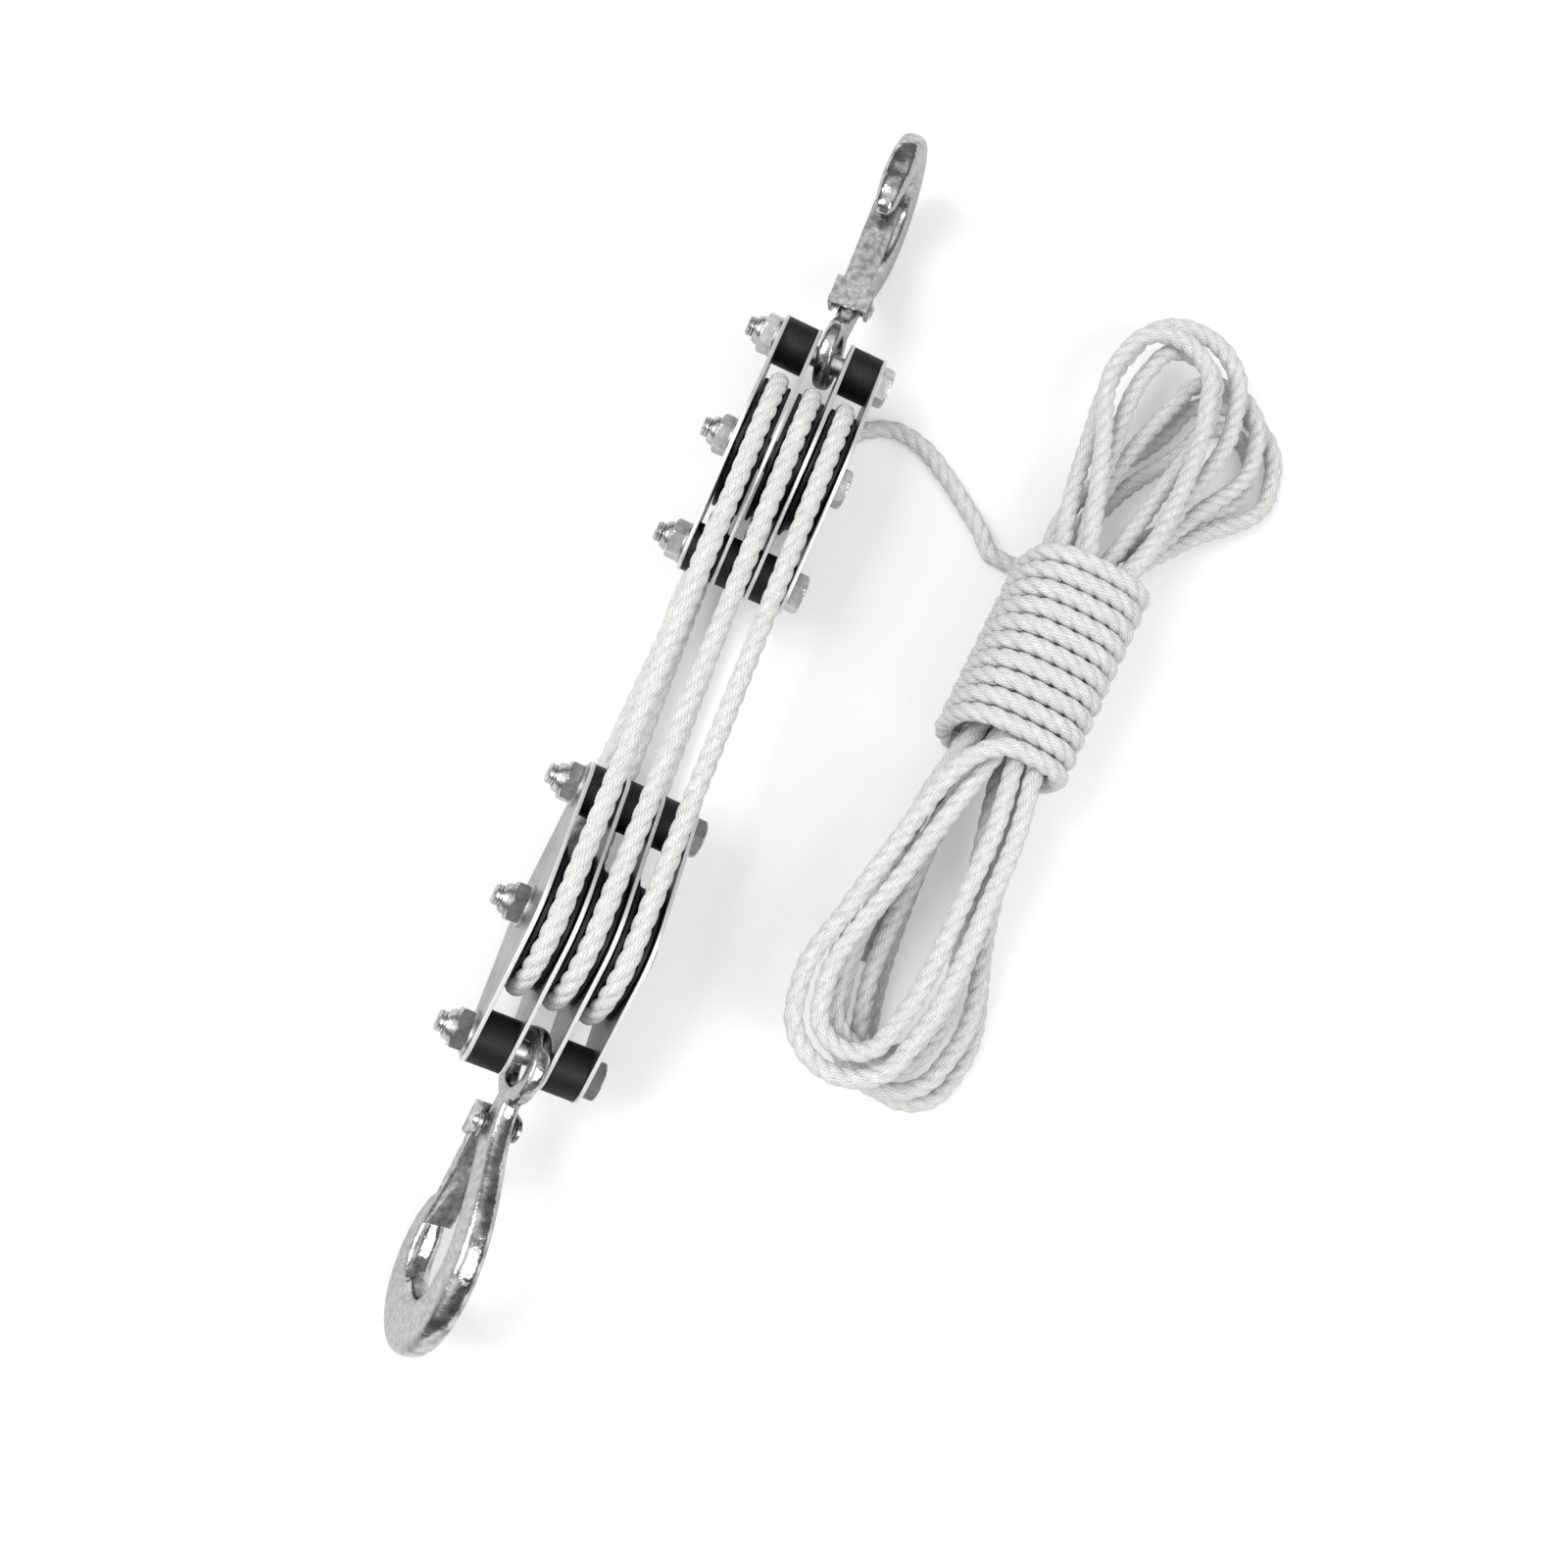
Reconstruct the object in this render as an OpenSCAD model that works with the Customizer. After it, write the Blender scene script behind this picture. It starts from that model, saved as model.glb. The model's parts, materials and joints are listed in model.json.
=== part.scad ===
// Pulley hoist laid flat: two three-sheave rope blocks with swinging safety hooks,
// the rope reeved between them, and the spare rope put up as a wrapped hank.
// Lengths are millimetres. +Z is up, and +Y runs from the lower block to the upper one.

/* [Blocks] */
// Distance between the axle centres of the two blocks
block_distance = 243; // [230:1:300]
// Distance between neighbouring through bolts of a block
bolt_spacing = 58; // [57:1:64]
// Radius of a cheek plate round its middle bolt
plate_mid_r = 34; // [33:0.5:36]
// Radius of a cheek plate's round ends
plate_end_r = 12.5; // [12:0.5:14]
// Thickness of a cheek plate
plate_t = 2; // [1.5:0.1:2.4]
// Width of the bay between two cheek plates
bay_w = 15.3; // [15:0.1:16.5]
// Outer radius of a plastic spacer
spacer_r = 12; // [11:0.5:12.5]
// How far the lower block has rolled about the tackle's long axis, in degrees
lower_roll = 9; // [0:1:12]

/* [Bolts] */
// Diameter of a through bolt
bolt_d = 10; // [9:0.1:10.4]
// Width across the flats of bolt heads and nuts
hex_flats = 17; // [16:0.5:18]
// Height of a bolt head
head_h = 6.4; // [5:0.1:8]
// Height of a nut's hexagon
nut_h = 6.5; // [5:0.1:8]
// Height of a nut's round locking collar
collar_h = 3.5; // [2:0.1:5]
// Outer radius of a nut's locking collar
collar_r = 7; // [6:0.1:7.8]
// How far a bolt's end stands out of its nut
bolt_out = 4; // [2:0.5:8]
// Outer radius of a washer
washer_r = 10; // [9.5:0.1:11]
// Thickness of a washer
washer_t = 1.6; // [1:0.1:2]

/* [Sheaves] */
// Width of a sheave
sheave_w = 13.5; // [13:0.1:14.2]
// Radius from the axle to the middle of the rope
rope_pitch_r = 32.75; // [31:0.25:34]
// Radius of a sheave's flanges
flange_r = 32.5; // [31:0.25:34]
// Outer radius of a steel axle sleeve
sleeve_r = 8; // [7:0.1:9]
// Radius of a sheave's raised hub
hub_r = 13; // [11:0.5:15]
// Outer radius of the dished web
dish_r = 24.5; // [22:0.5:25.5]
// Depth of the dish on each side
dish_depth = 2; // [1:0.1:3]

/* [Rope] */
// Diameter of the rope
rope_d = 9.5; // [9:0.1:9.6]
// Radius of the splice that closes the rope's fixed eye
splice_r = 6.4; // [5.5:0.1:7]
// Length of that splice
splice_l = 34; // [20:1:45]

/* [Hooks] */
// Inner radius of a hook's eye
eye_r = 10; // [9:0.1:10.5]
// Radial width of the eye's ring
eye_band = 7.5; // [6:0.1:8]
// Thickness of the eye's ring
eye_t = 8; // [7:0.1:8.2]
// Distance from the bolt to the centre of the hook's bowl
bowl_u = 93; // [90:1:98]
// Radius of the bowl, where a ring or sling bears
bowl_r = 17; // [16:0.25:18]
// Depth of the hook's back beside the bowl
back_depth = 18; // [16:0.5:18.5]
// Depth of the hook under the bowl
bottom_depth = 24; // [22:0.5:25]
// Depth of the hook on the tip side of the bowl
tip_depth = 13.5; // [12:0.5:14]
// Greatest thickness of the forging
hook_t = 14; // [13:0.5:14.5]
// How far the upper hook has twisted on its bolt, in degrees
upper_twist = -12; // [-14:1:14]
// How far the lower hook has twisted on its bolt, in degrees
lower_twist = -14; // [-14:1:14]

/* [Latches] */
// Length of a latch from its pin to its free end
latch_l = 52.5; // [51:0.5:53]
// Width of the latch's channel
latch_w = 13.5; // [12:0.5:14]
// Width over the latch's ears
latch_ear_w = 20; // [19.6:0.2:21]
// Thickness of the latch's sheet
latch_sheet = 1.6; // [1.2:0.1:1.8]
// Height of the latch's outer face above its pin
latch_off = 8.5; // [8.3:0.1:8.7]
// Length of the latch's wide part in front of its pin
latch_wide_l = 9; // [8:0.5:11]
// Radius of a latch's ears
ear_r = 5.5; // [5:0.1:6]
// Radius of a latch pin
pin_r = 2.5; // [2:0.1:2.6]
// Wire diameter of a latch spring
wire_d = 0.8; // [0.7:0.05:0.85]

/* [Hank] */
// Radius from the hank's axis to the wrapping rope's middle, on a flat
wrap_half = 28.4; // [28.4:0.1:30]
// Radius of the wrapping rope's corners
wrap_corner_r = 19; // [18:0.5:20]
// Distance between neighbouring turns of the wrap
wrap_pitch = 10; // [10:0.1:10.4]
// Number of whole turns in the wrap, before its last half turn
wrap_turns = 10; // [6:1:10]

/* [Hidden] */
$fn = 96;

// Clearances and small sizes
overrun = 2;
flank_sink = 0.05;
bolt_fit = 0.05;
sheave_fit = 0.06;
loose_fit = 0.3;
rope_fit = 0.3;
hex_bevel_share = 0.95;
bolt_bevel = 1;
eye_bevel = 2.4;
saddle_cut = 1;
pin_fit = 0.1;
pin_head_r = 4.3;
pin_head_t = 1.5;
pin_play = 0.15;
floor_gap = 0.3;
edge_share = 0.35;
splice_start = 8;
lead_l = 3;
latch_rear_off = 4.4;
flange_mid_off = 3;
flange_end_off = 6.8;
flange_mid_share = 0.45;
dimple_r = 5;
dimple_depth = 1;
dimple_share = 0.92;
coil_r = 3.5;
coil_turns = 1.5;
spring_gap = 0.2;
bridge_share = 0.75;
spring_leg_l = 6;
leg_rise = 0.6;

// Places in a block. X runs along its bolts, nuts at the left, and +Y points to its hook
bay_pitch = bay_w + plate_t;
cheek_x = 1.5 * bay_pitch + plate_t / 2;
nut_x = cheek_x + washer_t;
thread_x = nut_x + nut_h + collar_h + bolt_out;
head_x = cheek_x + head_h;
plate_slope = asin((plate_mid_r - plate_end_r) / bolt_spacing);
hex_r = hex_flats / 2 / cos(30);
groove_r = rope_d / 2 + rope_fit;
rope_r = rope_d / 2;
left = -1;
middle = 0;
right = 1;

// Places of the blocks. The rope's lowest bends rest on the surface, at height 0
block_x = (thread_x - head_x) / 2;
upper_y = block_distance / 2;
lower_y = -block_distance / 2;
upper_z = rope_pitch_r + rope_r;
lower_z = rope_pitch_r * cos(lower_roll) + bay_pitch * sin(lower_roll) + rope_r;

// Places on a hook. Its u runs along +Y from the bolt, and its v along +Z to the tip side
eye_u = eye_r - bolt_d / 2 - loose_fit;
back_v = bowl_r + back_depth / 2;
pin_u = 33;
pin_v = 2;
latch_lean = 6.6;
upper_reach = (bowl_r - saddle_cut + back_depth) * cos(upper_twist)
    + edge_share * hook_t / 2 * abs(sin(upper_twist)) + floor_gap;
upper_droop = -asin((upper_z - upper_reach) / (bowl_u + bowl_r / 2));
lower_tilt = lower_roll - lower_twist;
lower_reach = (bowl_r - saddle_cut + tip_depth) * cos(lower_tilt)
    + edge_share * hook_t / 2 * abs(sin(lower_tilt)) + floor_gap;
lower_droop = asin((lower_z - lower_reach) / (bowl_u + bowl_r));

// The shank's middle line as shares of bowl_u and of back_v, then its depth and thickness
shank_shares = [
    [0.18, 0, 0.67, 0.64],
    [0.26, 0, 0.72, 0.7],
    [0.36, 0.04, 0.89, 0.75],
    [0.47, 0.25, 0.86, 0.8],
    [0.6, 0.55, 0.89, 0.86],
    [0.74, 0.81, 0.95, 0.92],
    [0.88, 0.96, 0.98, 0.97]];
// The tip's stations: distance back from the bowl's centre, depth and thickness
tip_shares = [
    [0.3, 0.95, 0.9],
    [0.65, 0.81, 0.8],
    [0.94, 0.66, 0.7],
    [1.03, 0.4, 0.45]];
bowl_step = 18;
section_power = 3.2;
section_sides = 16;

function unit(v) = v / norm(v);
function ahead(points, i) = unit(points[min(i + 1, len(points) - 1)] - points[max(i - 1, 0)]);
function squarish(c) = sign(c) * pow(abs(c), 2 / section_power);

// Triangles of a closed tube with a given number of rings and sides
function tube_faces(rings, sides) = concat(
    [for (j = [1 : sides - 2]) [0, j, j + 1]],
    [for (i = [0 : rings - 2], j = [0 : sides - 1])
        [i * sides + j, (i + 1) * sides + j, i * sides + (j + 1) % sides]],
    [for (i = [0 : rings - 2], j = [0 : sides - 1])
        [i * sides + (j + 1) % sides, (i + 1) * sides + j, (i + 1) * sides + (j + 1) % sides]],
    [for (j = [1 : sides - 2])
        [(rings - 1) * sides, (rings - 1) * sides + j + 1, (rings - 1) * sides + j]]);

// A vector square to each tangent, carried along the path with the least twist
function carried(tangents, start) = [
    for (i = 0, n = unit(start - (start * tangents[0]) * tangents[0]);
        i < len(tangents);
        i = i + 1,
        n = i < len(tangents) ? unit(n - (n * tangents[i]) * tangents[i]) : n) n];

// One unbroken tube along a list of points
module tube(points, r, sides, start, turn = 0) {
    tangents = [for (i = [0 : len(points) - 1]) ahead(points, i)];
    normals = carried(tangents, start);
    rings = [for (i = [0 : len(points) - 1], j = [0 : sides - 1])
        let (a = turn + j * 360 / sides)
        points[i] + r * (cos(a) * normals[i] + sin(a) * cross(tangents[i], normals[i]))];
    polyhedron(rings, tube_faces(len(points), sides));
}

// Extrudes a drawing of y and z along X
module along_x(x0, x1) {
    translate([x0, 0, 0]) rotate([90, 0, 90]) linear_extrude(x1 - x0) children();
}

// A rod along X
module rod_x(x0, x1, r) {
    translate([x0, 0, 0]) rotate([0, 90, 0]) cylinder(h = x1 - x0, r = r);
}

// A rod from one point to another
module rod(a, b, r) {
    d = b - a;
    translate(a) rotate([0, acos(d.z / norm(d)), atan2(d.y, d.x)]) cylinder(h = norm(d), r = r);
}

// Puts a child at each of a block's three bolts
module at_bolts() {
    for (end = [-1 : 1]) translate([0, end * bolt_spacing, 0]) children();
}

module upper() {
    translate([block_x, upper_y, upper_z]) children();
}

// The lower block is the same block turned end for end, so its nuts stay at the left
module lower() {
    translate([block_x, lower_y, lower_z]) rotate([0, lower_roll, 0]) rotate([180, 0, 0])
        children();
}

// The straight flanks between a cheek plate's wide middle and its round ends
module plate_flanks() {
    tangent = [sin(plate_slope), cos(plate_slope)];
    shoulder = (plate_mid_r - flank_sink) * tangent;
    tip = [bolt_spacing, 0] + (plate_end_r - flank_sink) * tangent;
    polygon([shoulder, tip, [tip.x, -tip.y], [shoulder.x, -shoulder.y],
        [-shoulder.x, -shoulder.y], [-tip.x, -tip.y], [-tip.x, tip.y], [-shoulder.x, shoulder.y]]);
}

// One cheek plate, counted by its place in bays from the block's middle
module plate(place) {
    x0 = place * bay_pitch - plate_t / 2;
    color("#c9ccce")
    difference() {
        union() {
            rod_x(x0, x0 + plate_t, plate_mid_r);
            for (end = [-1, 1]) translate([0, end * bolt_spacing, 0])
                rod_x(x0, x0 + plate_t, plate_end_r);
            along_x(x0, x0 + plate_t) plate_flanks();
        }
        at_bolts() rod_x(x0 - overrun, x0 + plate_t + overrun, bolt_d / 2 + bolt_fit);
    }
}

module spacer(bay, end) {
    color("#1c1c1e")
    translate([0, end * bolt_spacing, 0]) difference() {
        rod_x(bay * bay_pitch - bay_w / 2, bay * bay_pitch + bay_w / 2, spacer_r);
        rod_x(-cheek_x, cheek_x, bolt_d / 2 + bolt_fit);
    }
}

// A spacer fills each hook-end bay but the middle one, where the hook's eye is
module hook_end_spacers() {
    for (bay = [left, right]) spacer(bay, 1);
}

module rope_end_spacers() {
    for (bay = [left : right]) spacer(bay, -1);
}

// A hexagonal prism along Z with its far corners bevelled
module hexagon(h) {
    bevel = (hex_r - hex_bevel_share * hex_flats / 2) * tan(30);
    intersection() {
        cylinder(h = h, r = hex_r, $fn = 6);
        rotate_extrude() polygon([[0, 0], [hex_r, 0], [hex_r, h - bevel],
            [hex_bevel_share * hex_flats / 2, h], [0, h]]);
    }
}

module bolts() {
    color("#b9bcc0")
    at_bolts() {
        rod_x(bolt_bevel - thread_x, cheek_x, bolt_d / 2);
        translate([-thread_x, 0, 0]) rotate([0, 90, 0])
            cylinder(h = bolt_bevel, r1 = bolt_d / 2 - bolt_bevel, r2 = bolt_d / 2);
        translate([cheek_x, 0, 0]) rotate([0, 90, 0]) hexagon(head_h);
    }
}

module washers() {
    color("#aeb2b6")
    at_bolts() difference() {
        rod_x(-nut_x, -cheek_x, washer_r);
        rod_x(-nut_x - overrun, -cheek_x + overrun, bolt_d / 2 + bolt_fit);
    }
}

module nuts() {
    color("#b2b6ba")
    at_bolts() translate([-nut_x, 0, 0]) rotate([0, -90, 0]) difference() {
        union() {
            hexagon(nut_h);
            rotate_extrude() polygon([[0, 0], [collar_r, 0], [collar_r, nut_h + collar_h / 2],
                [collar_r - collar_h / 4, nut_h + collar_h], [0, nut_h + collar_h]]);
        }
        translate([0, 0, -overrun]) cylinder(h = nut_h + collar_h + 2 * overrun,
            r = bolt_d / 2 + bolt_fit);
    }
}

module axle_sleeves() {
    color("#9a9ea2")
    for (bay = [left : right]) difference() {
        rod_x(bay * bay_pitch - bay_w / 2, bay * bay_pitch + bay_w / 2, sleeve_r);
        rod_x(-cheek_x, cheek_x, bolt_d / 2 + bolt_fit);
    }
}

// A grooved sheave with a dished web, turning on its sleeve
module sheave(bay) {
    bore_r = sleeve_r + sheave_fit;
    color("#222326")
    translate([bay * bay_pitch, 0, 0]) rotate([0, 90, 0]) rotate_extrude() difference() {
        translate([bore_r, -sheave_w / 2]) square([flange_r - bore_r, sheave_w]);
        translate([rope_pitch_r, 0]) circle(groove_r);
        for (side = [-1, 1]) translate([hub_r, side * sheave_w / 2 - dish_depth])
            square([dish_r - hub_r, 2 * dish_depth]);
    }
}

// The hook's stations, each a middle point u and v, a depth and a thickness
hook_stations = concat(
    [for (s = shank_shares) [s[0] * bowl_u, -s[1] * back_v, s[2] * back_depth, s[3] * hook_t]],
    [for (a = [0 : bowl_step : 180])
        let (side = back_depth + (tip_depth - back_depth) * a / 180)
        let (depth = side + (bottom_depth - side) * pow(sin(a), 2))
        let (r = bowl_r - saddle_cut + depth / 2)
        [bowl_u + r * sin(a), -r * cos(a), depth, hook_t]],
    [for (s = tip_shares)
        [bowl_u - s[0] * bowl_r, bowl_r + tip_depth * s[1] / 2, tip_depth * s[1], s[2] * hook_t]]);

module forging() {
    last = len(hook_stations) - 1;
    middles = [for (s = hook_stations) [s[0], s[1]]];
    rings = [for (i = [0 : last], j = [0 : section_sides - 1])
        let (s = hook_stations[i])
        let (along = ahead(middles, i))
        let (a = j * 360 / section_sides)
        let (across = squarish(cos(a)) * s[2] / 2)
        [squarish(sin(a)) * s[3] / 2, s[0] - along.y * across, s[1] + along.x * across]];
    polyhedron(rings, tube_faces(last + 1, section_sides));
}

// The eye's ring, bevelled on all four corners
module eye() {
    translate([0, eye_u, 0]) rotate([0, 90, 0]) rotate_extrude() translate([eye_r, 0])
        polygon([[0, eye_bevel - eye_t / 2], [eye_bevel, -eye_t / 2],
            [eye_band - eye_bevel, -eye_t / 2], [eye_band, eye_bevel - eye_t / 2],
            [eye_band, eye_t / 2 - eye_bevel], [eye_band - eye_bevel, eye_t / 2],
            [eye_bevel, eye_t / 2], [0, eye_t / 2 - eye_bevel]]);
}

// A forged eye hook, with its bowl machined round and its neck bored for the latch pin
module hook() {
    color("#c2c5c8")
    difference() {
        union() {
            eye();
            forging();
        }
        translate([0, bowl_u, 0]) rod_x(-hook_t, hook_t, bowl_r);
        translate([0, pin_u, pin_v]) rod_x(-hook_t, hook_t, pin_r + bolt_fit);
    }
}

// Swings a hook about its bolt until it meets the surface, then twists it
module upper_hook_place() {
    upper() translate([0, bolt_spacing, 0]) rotate([upper_droop, 0, 0])
        rotate([0, upper_twist, 0]) children();
}

module lower_hook_place() {
    lower() translate([0, bolt_spacing, 0]) rotate([lower_droop, 0, 0])
        rotate([0, lower_twist, 0]) children();
}

// Puts a child in the latch's frame: along it from the pin, and outwards
module at_latch_pin() {
    translate([0, pin_u, pin_v]) rotate([latch_lean, 0, 0]) children();
}

// Side view of the latch's narrow channel
module latch_side() {
    polygon([[latch_wide_l - latch_sheet, latch_off], [latch_l, latch_off],
        [latch_l, flange_end_off], [flange_mid_share * latch_l, flange_mid_off],
        [latch_wide_l - latch_sheet, ear_r]]);
}

// A stamped channel with two ears that take the pin, and a dimple near its free end
module latch() {
    ear_x = latch_ear_w / 2;
    channel_x = latch_w / 2;
    inner_off = latch_off - latch_sheet;
    color("#a9adb1")
    at_latch_pin() difference() {
        union() {
            along_x(-channel_x, channel_x) latch_side();
            along_x(-ear_x, ear_x) translate([-ear_r, inner_off])
                square([latch_wide_l + ear_r, latch_sheet]);
            for (x = [-ear_x, ear_x - latch_sheet]) along_x(x, x + latch_sheet) {
                circle(ear_r);
                polygon([[-ear_r, 0], [-ear_r, latch_off], [latch_wide_l, latch_off],
                    [latch_wide_l, latch_rear_off], [ear_r, 0]]);
            }
        }
        along_x(latch_sheet - channel_x, channel_x - latch_sheet)
            translate([0, -inner_off]) square([latch_l + overrun, 2 * inner_off]);
        rod_x(-latch_ear_w, latch_ear_w, pin_r + pin_fit);
        translate([0, dimple_share * latch_l, latch_off + dimple_r - dimple_depth])
            sphere(dimple_r);
    }
}

// The latch's pin, riveted over at both ends
module latch_pin() {
    shoulder_x = latch_ear_w / 2 + pin_play;
    color("#8d9195")
    translate([0, pin_u, pin_v]) {
        rod_x(-shoulder_x, shoulder_x, pin_r);
        for (side = [-1, 1]) translate([side * shoulder_x, 0, 0]) rotate([0, side * 90, 0])
            cylinder(h = pin_head_t, r1 = pin_head_r, r2 = pin_r);
    }
}

// Half of the double torsion spring, from its leg to the bridge under the latch's web
neck_x = shank_shares[2][3] * hook_t / 2;
coil_x0 = latch_ear_w / 2 - latch_sheet - spring_gap - wire_d / 2;
coil_x1 = neck_x + spring_gap + wire_d / 2;
bridge_off = latch_off - latch_sheet - spring_gap - wire_d / 2;
coil_steps = 8 * coil_turns;
spring_half = concat(
    [[coil_x0, spring_leg_l, -coil_r - leg_rise]],
    [[coil_x0, spring_leg_l / 2, -coil_r - leg_rise / 2]],
    [for (k = [0 : coil_steps])
        let (a = -90 - 360 * coil_turns * k / coil_steps)
        [coil_x0 + (coil_x1 - coil_x0) * k / coil_steps, coil_r * cos(a), coil_r * sin(a)]],
    [[coil_x1, bridge_share * latch_wide_l - wire_d, (coil_r + bridge_off) / 2],
    [coil_x1 - wire_d, bridge_share * latch_wide_l, bridge_off]]);
spring_route = concat(
    [for (p = spring_half) [-p.x, p.y, p.z]],
    [for (i = [len(spring_half) - 1 : -1 : 0]) spring_half[i]]);

module latch_spring() {
    color("#6f7377")
    at_latch_pin() tube(spring_route, wire_d / 2, 6, [1, 0, 0]);
}

// Rope bends are drawn in a block's own frame, from the bottom at 0 degrees to the top at 180
module bend(bay, from, to, r = rope_pitch_r) {
    translate([bay * bay_pitch, 0, 0]) rotate([0, 90, 0]) rotate([0, 0, from])
        rotate_extrude(angle = to - from) translate([r, 0]) circle(rope_r);
}

// The tail leaves the right sheave before it has gone half way round
tail_angle = 73;

module upper_bends() {
    color("#f2f1ec") {
        bend(left, 0, 180);
        bend(middle, 0, 180);
        bend(right, tail_angle, 180);
    }
}

module lower_bends() {
    color("#f2f1ec") for (bay = [left : right]) bend(bay, 0, 180);
}

// Where the rope leaves a sheave at its top or its bottom, in the hoist's frame
function upper_end(bay, side) = [block_x + bay * bay_pitch, upper_y, upper_z + side * rope_pitch_r];
function lower_end(bay, side) = [
    block_x + bay * bay_pitch * cos(lower_roll) + side * rope_pitch_r * sin(lower_roll),
    lower_y,
    lower_z - bay * bay_pitch * sin(lower_roll) + side * rope_pitch_r * cos(lower_roll)];

// The fixed eye goes round the upper block's left rope-end spacer. Its splice starts clear of it
dead_r = spacer_r + rope_fit + rope_r;
dead_end = [block_x - bay_pitch, upper_y - bolt_spacing, upper_z - dead_r];
dead_way = unit(lower_end(left, -1) - dead_end);
splice_end = dead_end + dead_way * splice_l;

// A straight run of rope, ending clear of the pieces that it meets
module fall(a, b) {
    way = unit(b - a);
    color("#f2f1ec") rod(a + way * rope_fit, b - way * rope_fit, rope_r);
}

module dead_end() {
    color("#eceae4") {
        translate([block_x, upper_y - bolt_spacing, upper_z]) bend(left, 0, 360, dead_r);
        rod(dead_end + dead_way * splice_start, splice_end, splice_r);
    }
}

module front_falls() {
    for (bay = [left : right]) fall(lower_end(bay, 1), upper_end(bay, 1));
}

module back_falls() {
    fall(lower_end(left, -1), splice_end);
    fall(lower_end(middle, -1), upper_end(left, -1));
    fall(lower_end(right, -1), upper_end(middle, -1));
}

// The tail runs from the right upper sheave down to the surface and over it to the hank
tail_start = [block_x + bay_pitch, upper_y + rope_pitch_r * sin(tail_angle),
    upper_z - rope_pitch_r * cos(tail_angle)];
tail_way = [0, -cos(tail_angle), -sin(tail_angle)];
tail_points = [
    [23, 153, 17],
    [25, 157, 10],
    [31, 165, 6],
    [39, 173, 4.8],
    [51, 179, 4.8],
    [66, 178, 4.8],
    [84, 169, 4.8],
    [101, 157, 4.8],
    [115, 146, 4.8]];

// The hank lies at a slight lean: w runs across it, s along it and z up
hank_x = 160;
hank_y = 82;
hank_lean = 5;
slot_step = 10.6;
layer_step = 10.2;
fan_step = 10.9;
waist_half = 55;
waist_z = wrap_half + rope_r;
entry_w = -34;
entry_s = 53.5;

function in_hank(w, s, z) = [
    hank_x + s * sin(hank_lean) + w * cos(hank_lean),
    hank_y + s * cos(hank_lean) - w * sin(hank_lean),
    z];

tail_route = concat(
    [tail_start + tail_way * rope_fit, tail_start + tail_way * lead_l],
    tail_points,
    [in_hank(entry_w - rope_d, entry_s, rope_r), in_hank(entry_w - rope_fit, entry_s, rope_r)]);

module rope_tail() {
    color("#f2f1ec") tube(tail_route, rope_r, 10, [1, 0, 0]);
}

// One corner of the wrap has six rings. Corners are counted from the lower right one
flat_half = wrap_half - wrap_corner_r;
corner_l = wrap_corner_r * PI / 2;
side_l = corner_l + 2 * flat_half;
function wrap_point(corner, k) =
    let (quarter = corner % 4)
    let (a = 90 * quarter - 90 + 18 * k)
    let (cw = quarter < 2 ? flat_half : -flat_half)
    let (cz = quarter == 1 || quarter == 2 ? flat_half : -flat_half)
    let (run = corner * side_l + flat_half + corner_l * k / 5)
    in_hank(cw + wrap_corner_r * cos(a), wrap_s0 - wrap_pitch * run / (4 * side_l),
        waist_z + cz + wrap_corner_r * sin(a));
wrap_s0 = (wrap_turns + 0.5) * wrap_pitch / 2;

// From its last half turn the rope goes over into the hank's first run
join_points = [
    [-6, -54.5, 61.5],
    [-13, -59.5, 59.5],
    [-18, -67, 56],
    [-21.5, -76, 51.5],
    [-23.5, -86, 48]];
wrap_route = concat(
    [in_hank(entry_w, entry_s, rope_r), in_hank(entry_w + rope_d, entry_s, rope_r)],
    [in_hank(0, wrap_s0, rope_r)],
    [for (corner = [0 : 4 * wrap_turns + 1], k = [0 : 5]) wrap_point(corner, k)],
    [for (p = join_points) in_hank(p.x, p.y, p.z)]);

module rope_wrap() {
    color("#f2f1ec") tube(wrap_route, rope_r, 6, [0, 0, 1]);
}

// Fans of the hank: each layer's splay and the reach of its folds, at the top and the bottom
top_splay = [48, 28, 6, -13];
top_reach = [200, 208, 214, 203];
bottom_splay = [25, 16, -3, -9];
bottom_reach = [-224, -218, -212, -222];
top_half = [33, 19];
bottom_half = [30, 18];
splay_start = 0.4;
widening_power = 2.2;
function widening(t) = 1 - pow(1 - t, widening_power);
function splaying(t) = (t < splay_start ? t * t / (2 * splay_start) : t - splay_start / 2)
    / (1 - splay_start / 2);

// A point on a run: slot -1.5 to 1.5, layer 0 to 3, end 1 for the top and -1 for the bottom
function fan_half(slot, end) = (end > 0 ? top_half : bottom_half)[abs(slot) > 1 ? 0 : 1];
function fan_end_s(layer, end) = end > 0
    ? top_reach[layer] - top_half[0] : bottom_reach[layer] + bottom_half[0];
function fan_splay(layer, end) = (end > 0 ? top_splay : bottom_splay)[layer];
function sinking_l(end) = (end > 0 ? min(top_reach) - top_half[0]
    : -max(bottom_reach) - bottom_half[0]) - waist_half;
function layer_z(layer) = waist_z + (layer - 1.5) * layer_step;
function run_point(slot, layer, end, t) =
    let (waist_w = slot * slot_step)
    let (wide = sign(slot) * fan_half(slot, end) - waist_w)
    let (out = abs(fan_end_s(layer, end)) - waist_half)
    [waist_w + wide * widening(t) + fan_splay(layer, end) * splaying(t),
        end * (waist_half + out * t),
        layer_z(layer) - (layer_z(layer) - rope_r - layer * fan_step)
            * splaying(min(1, t * out / sinking_l(end)))];

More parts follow.
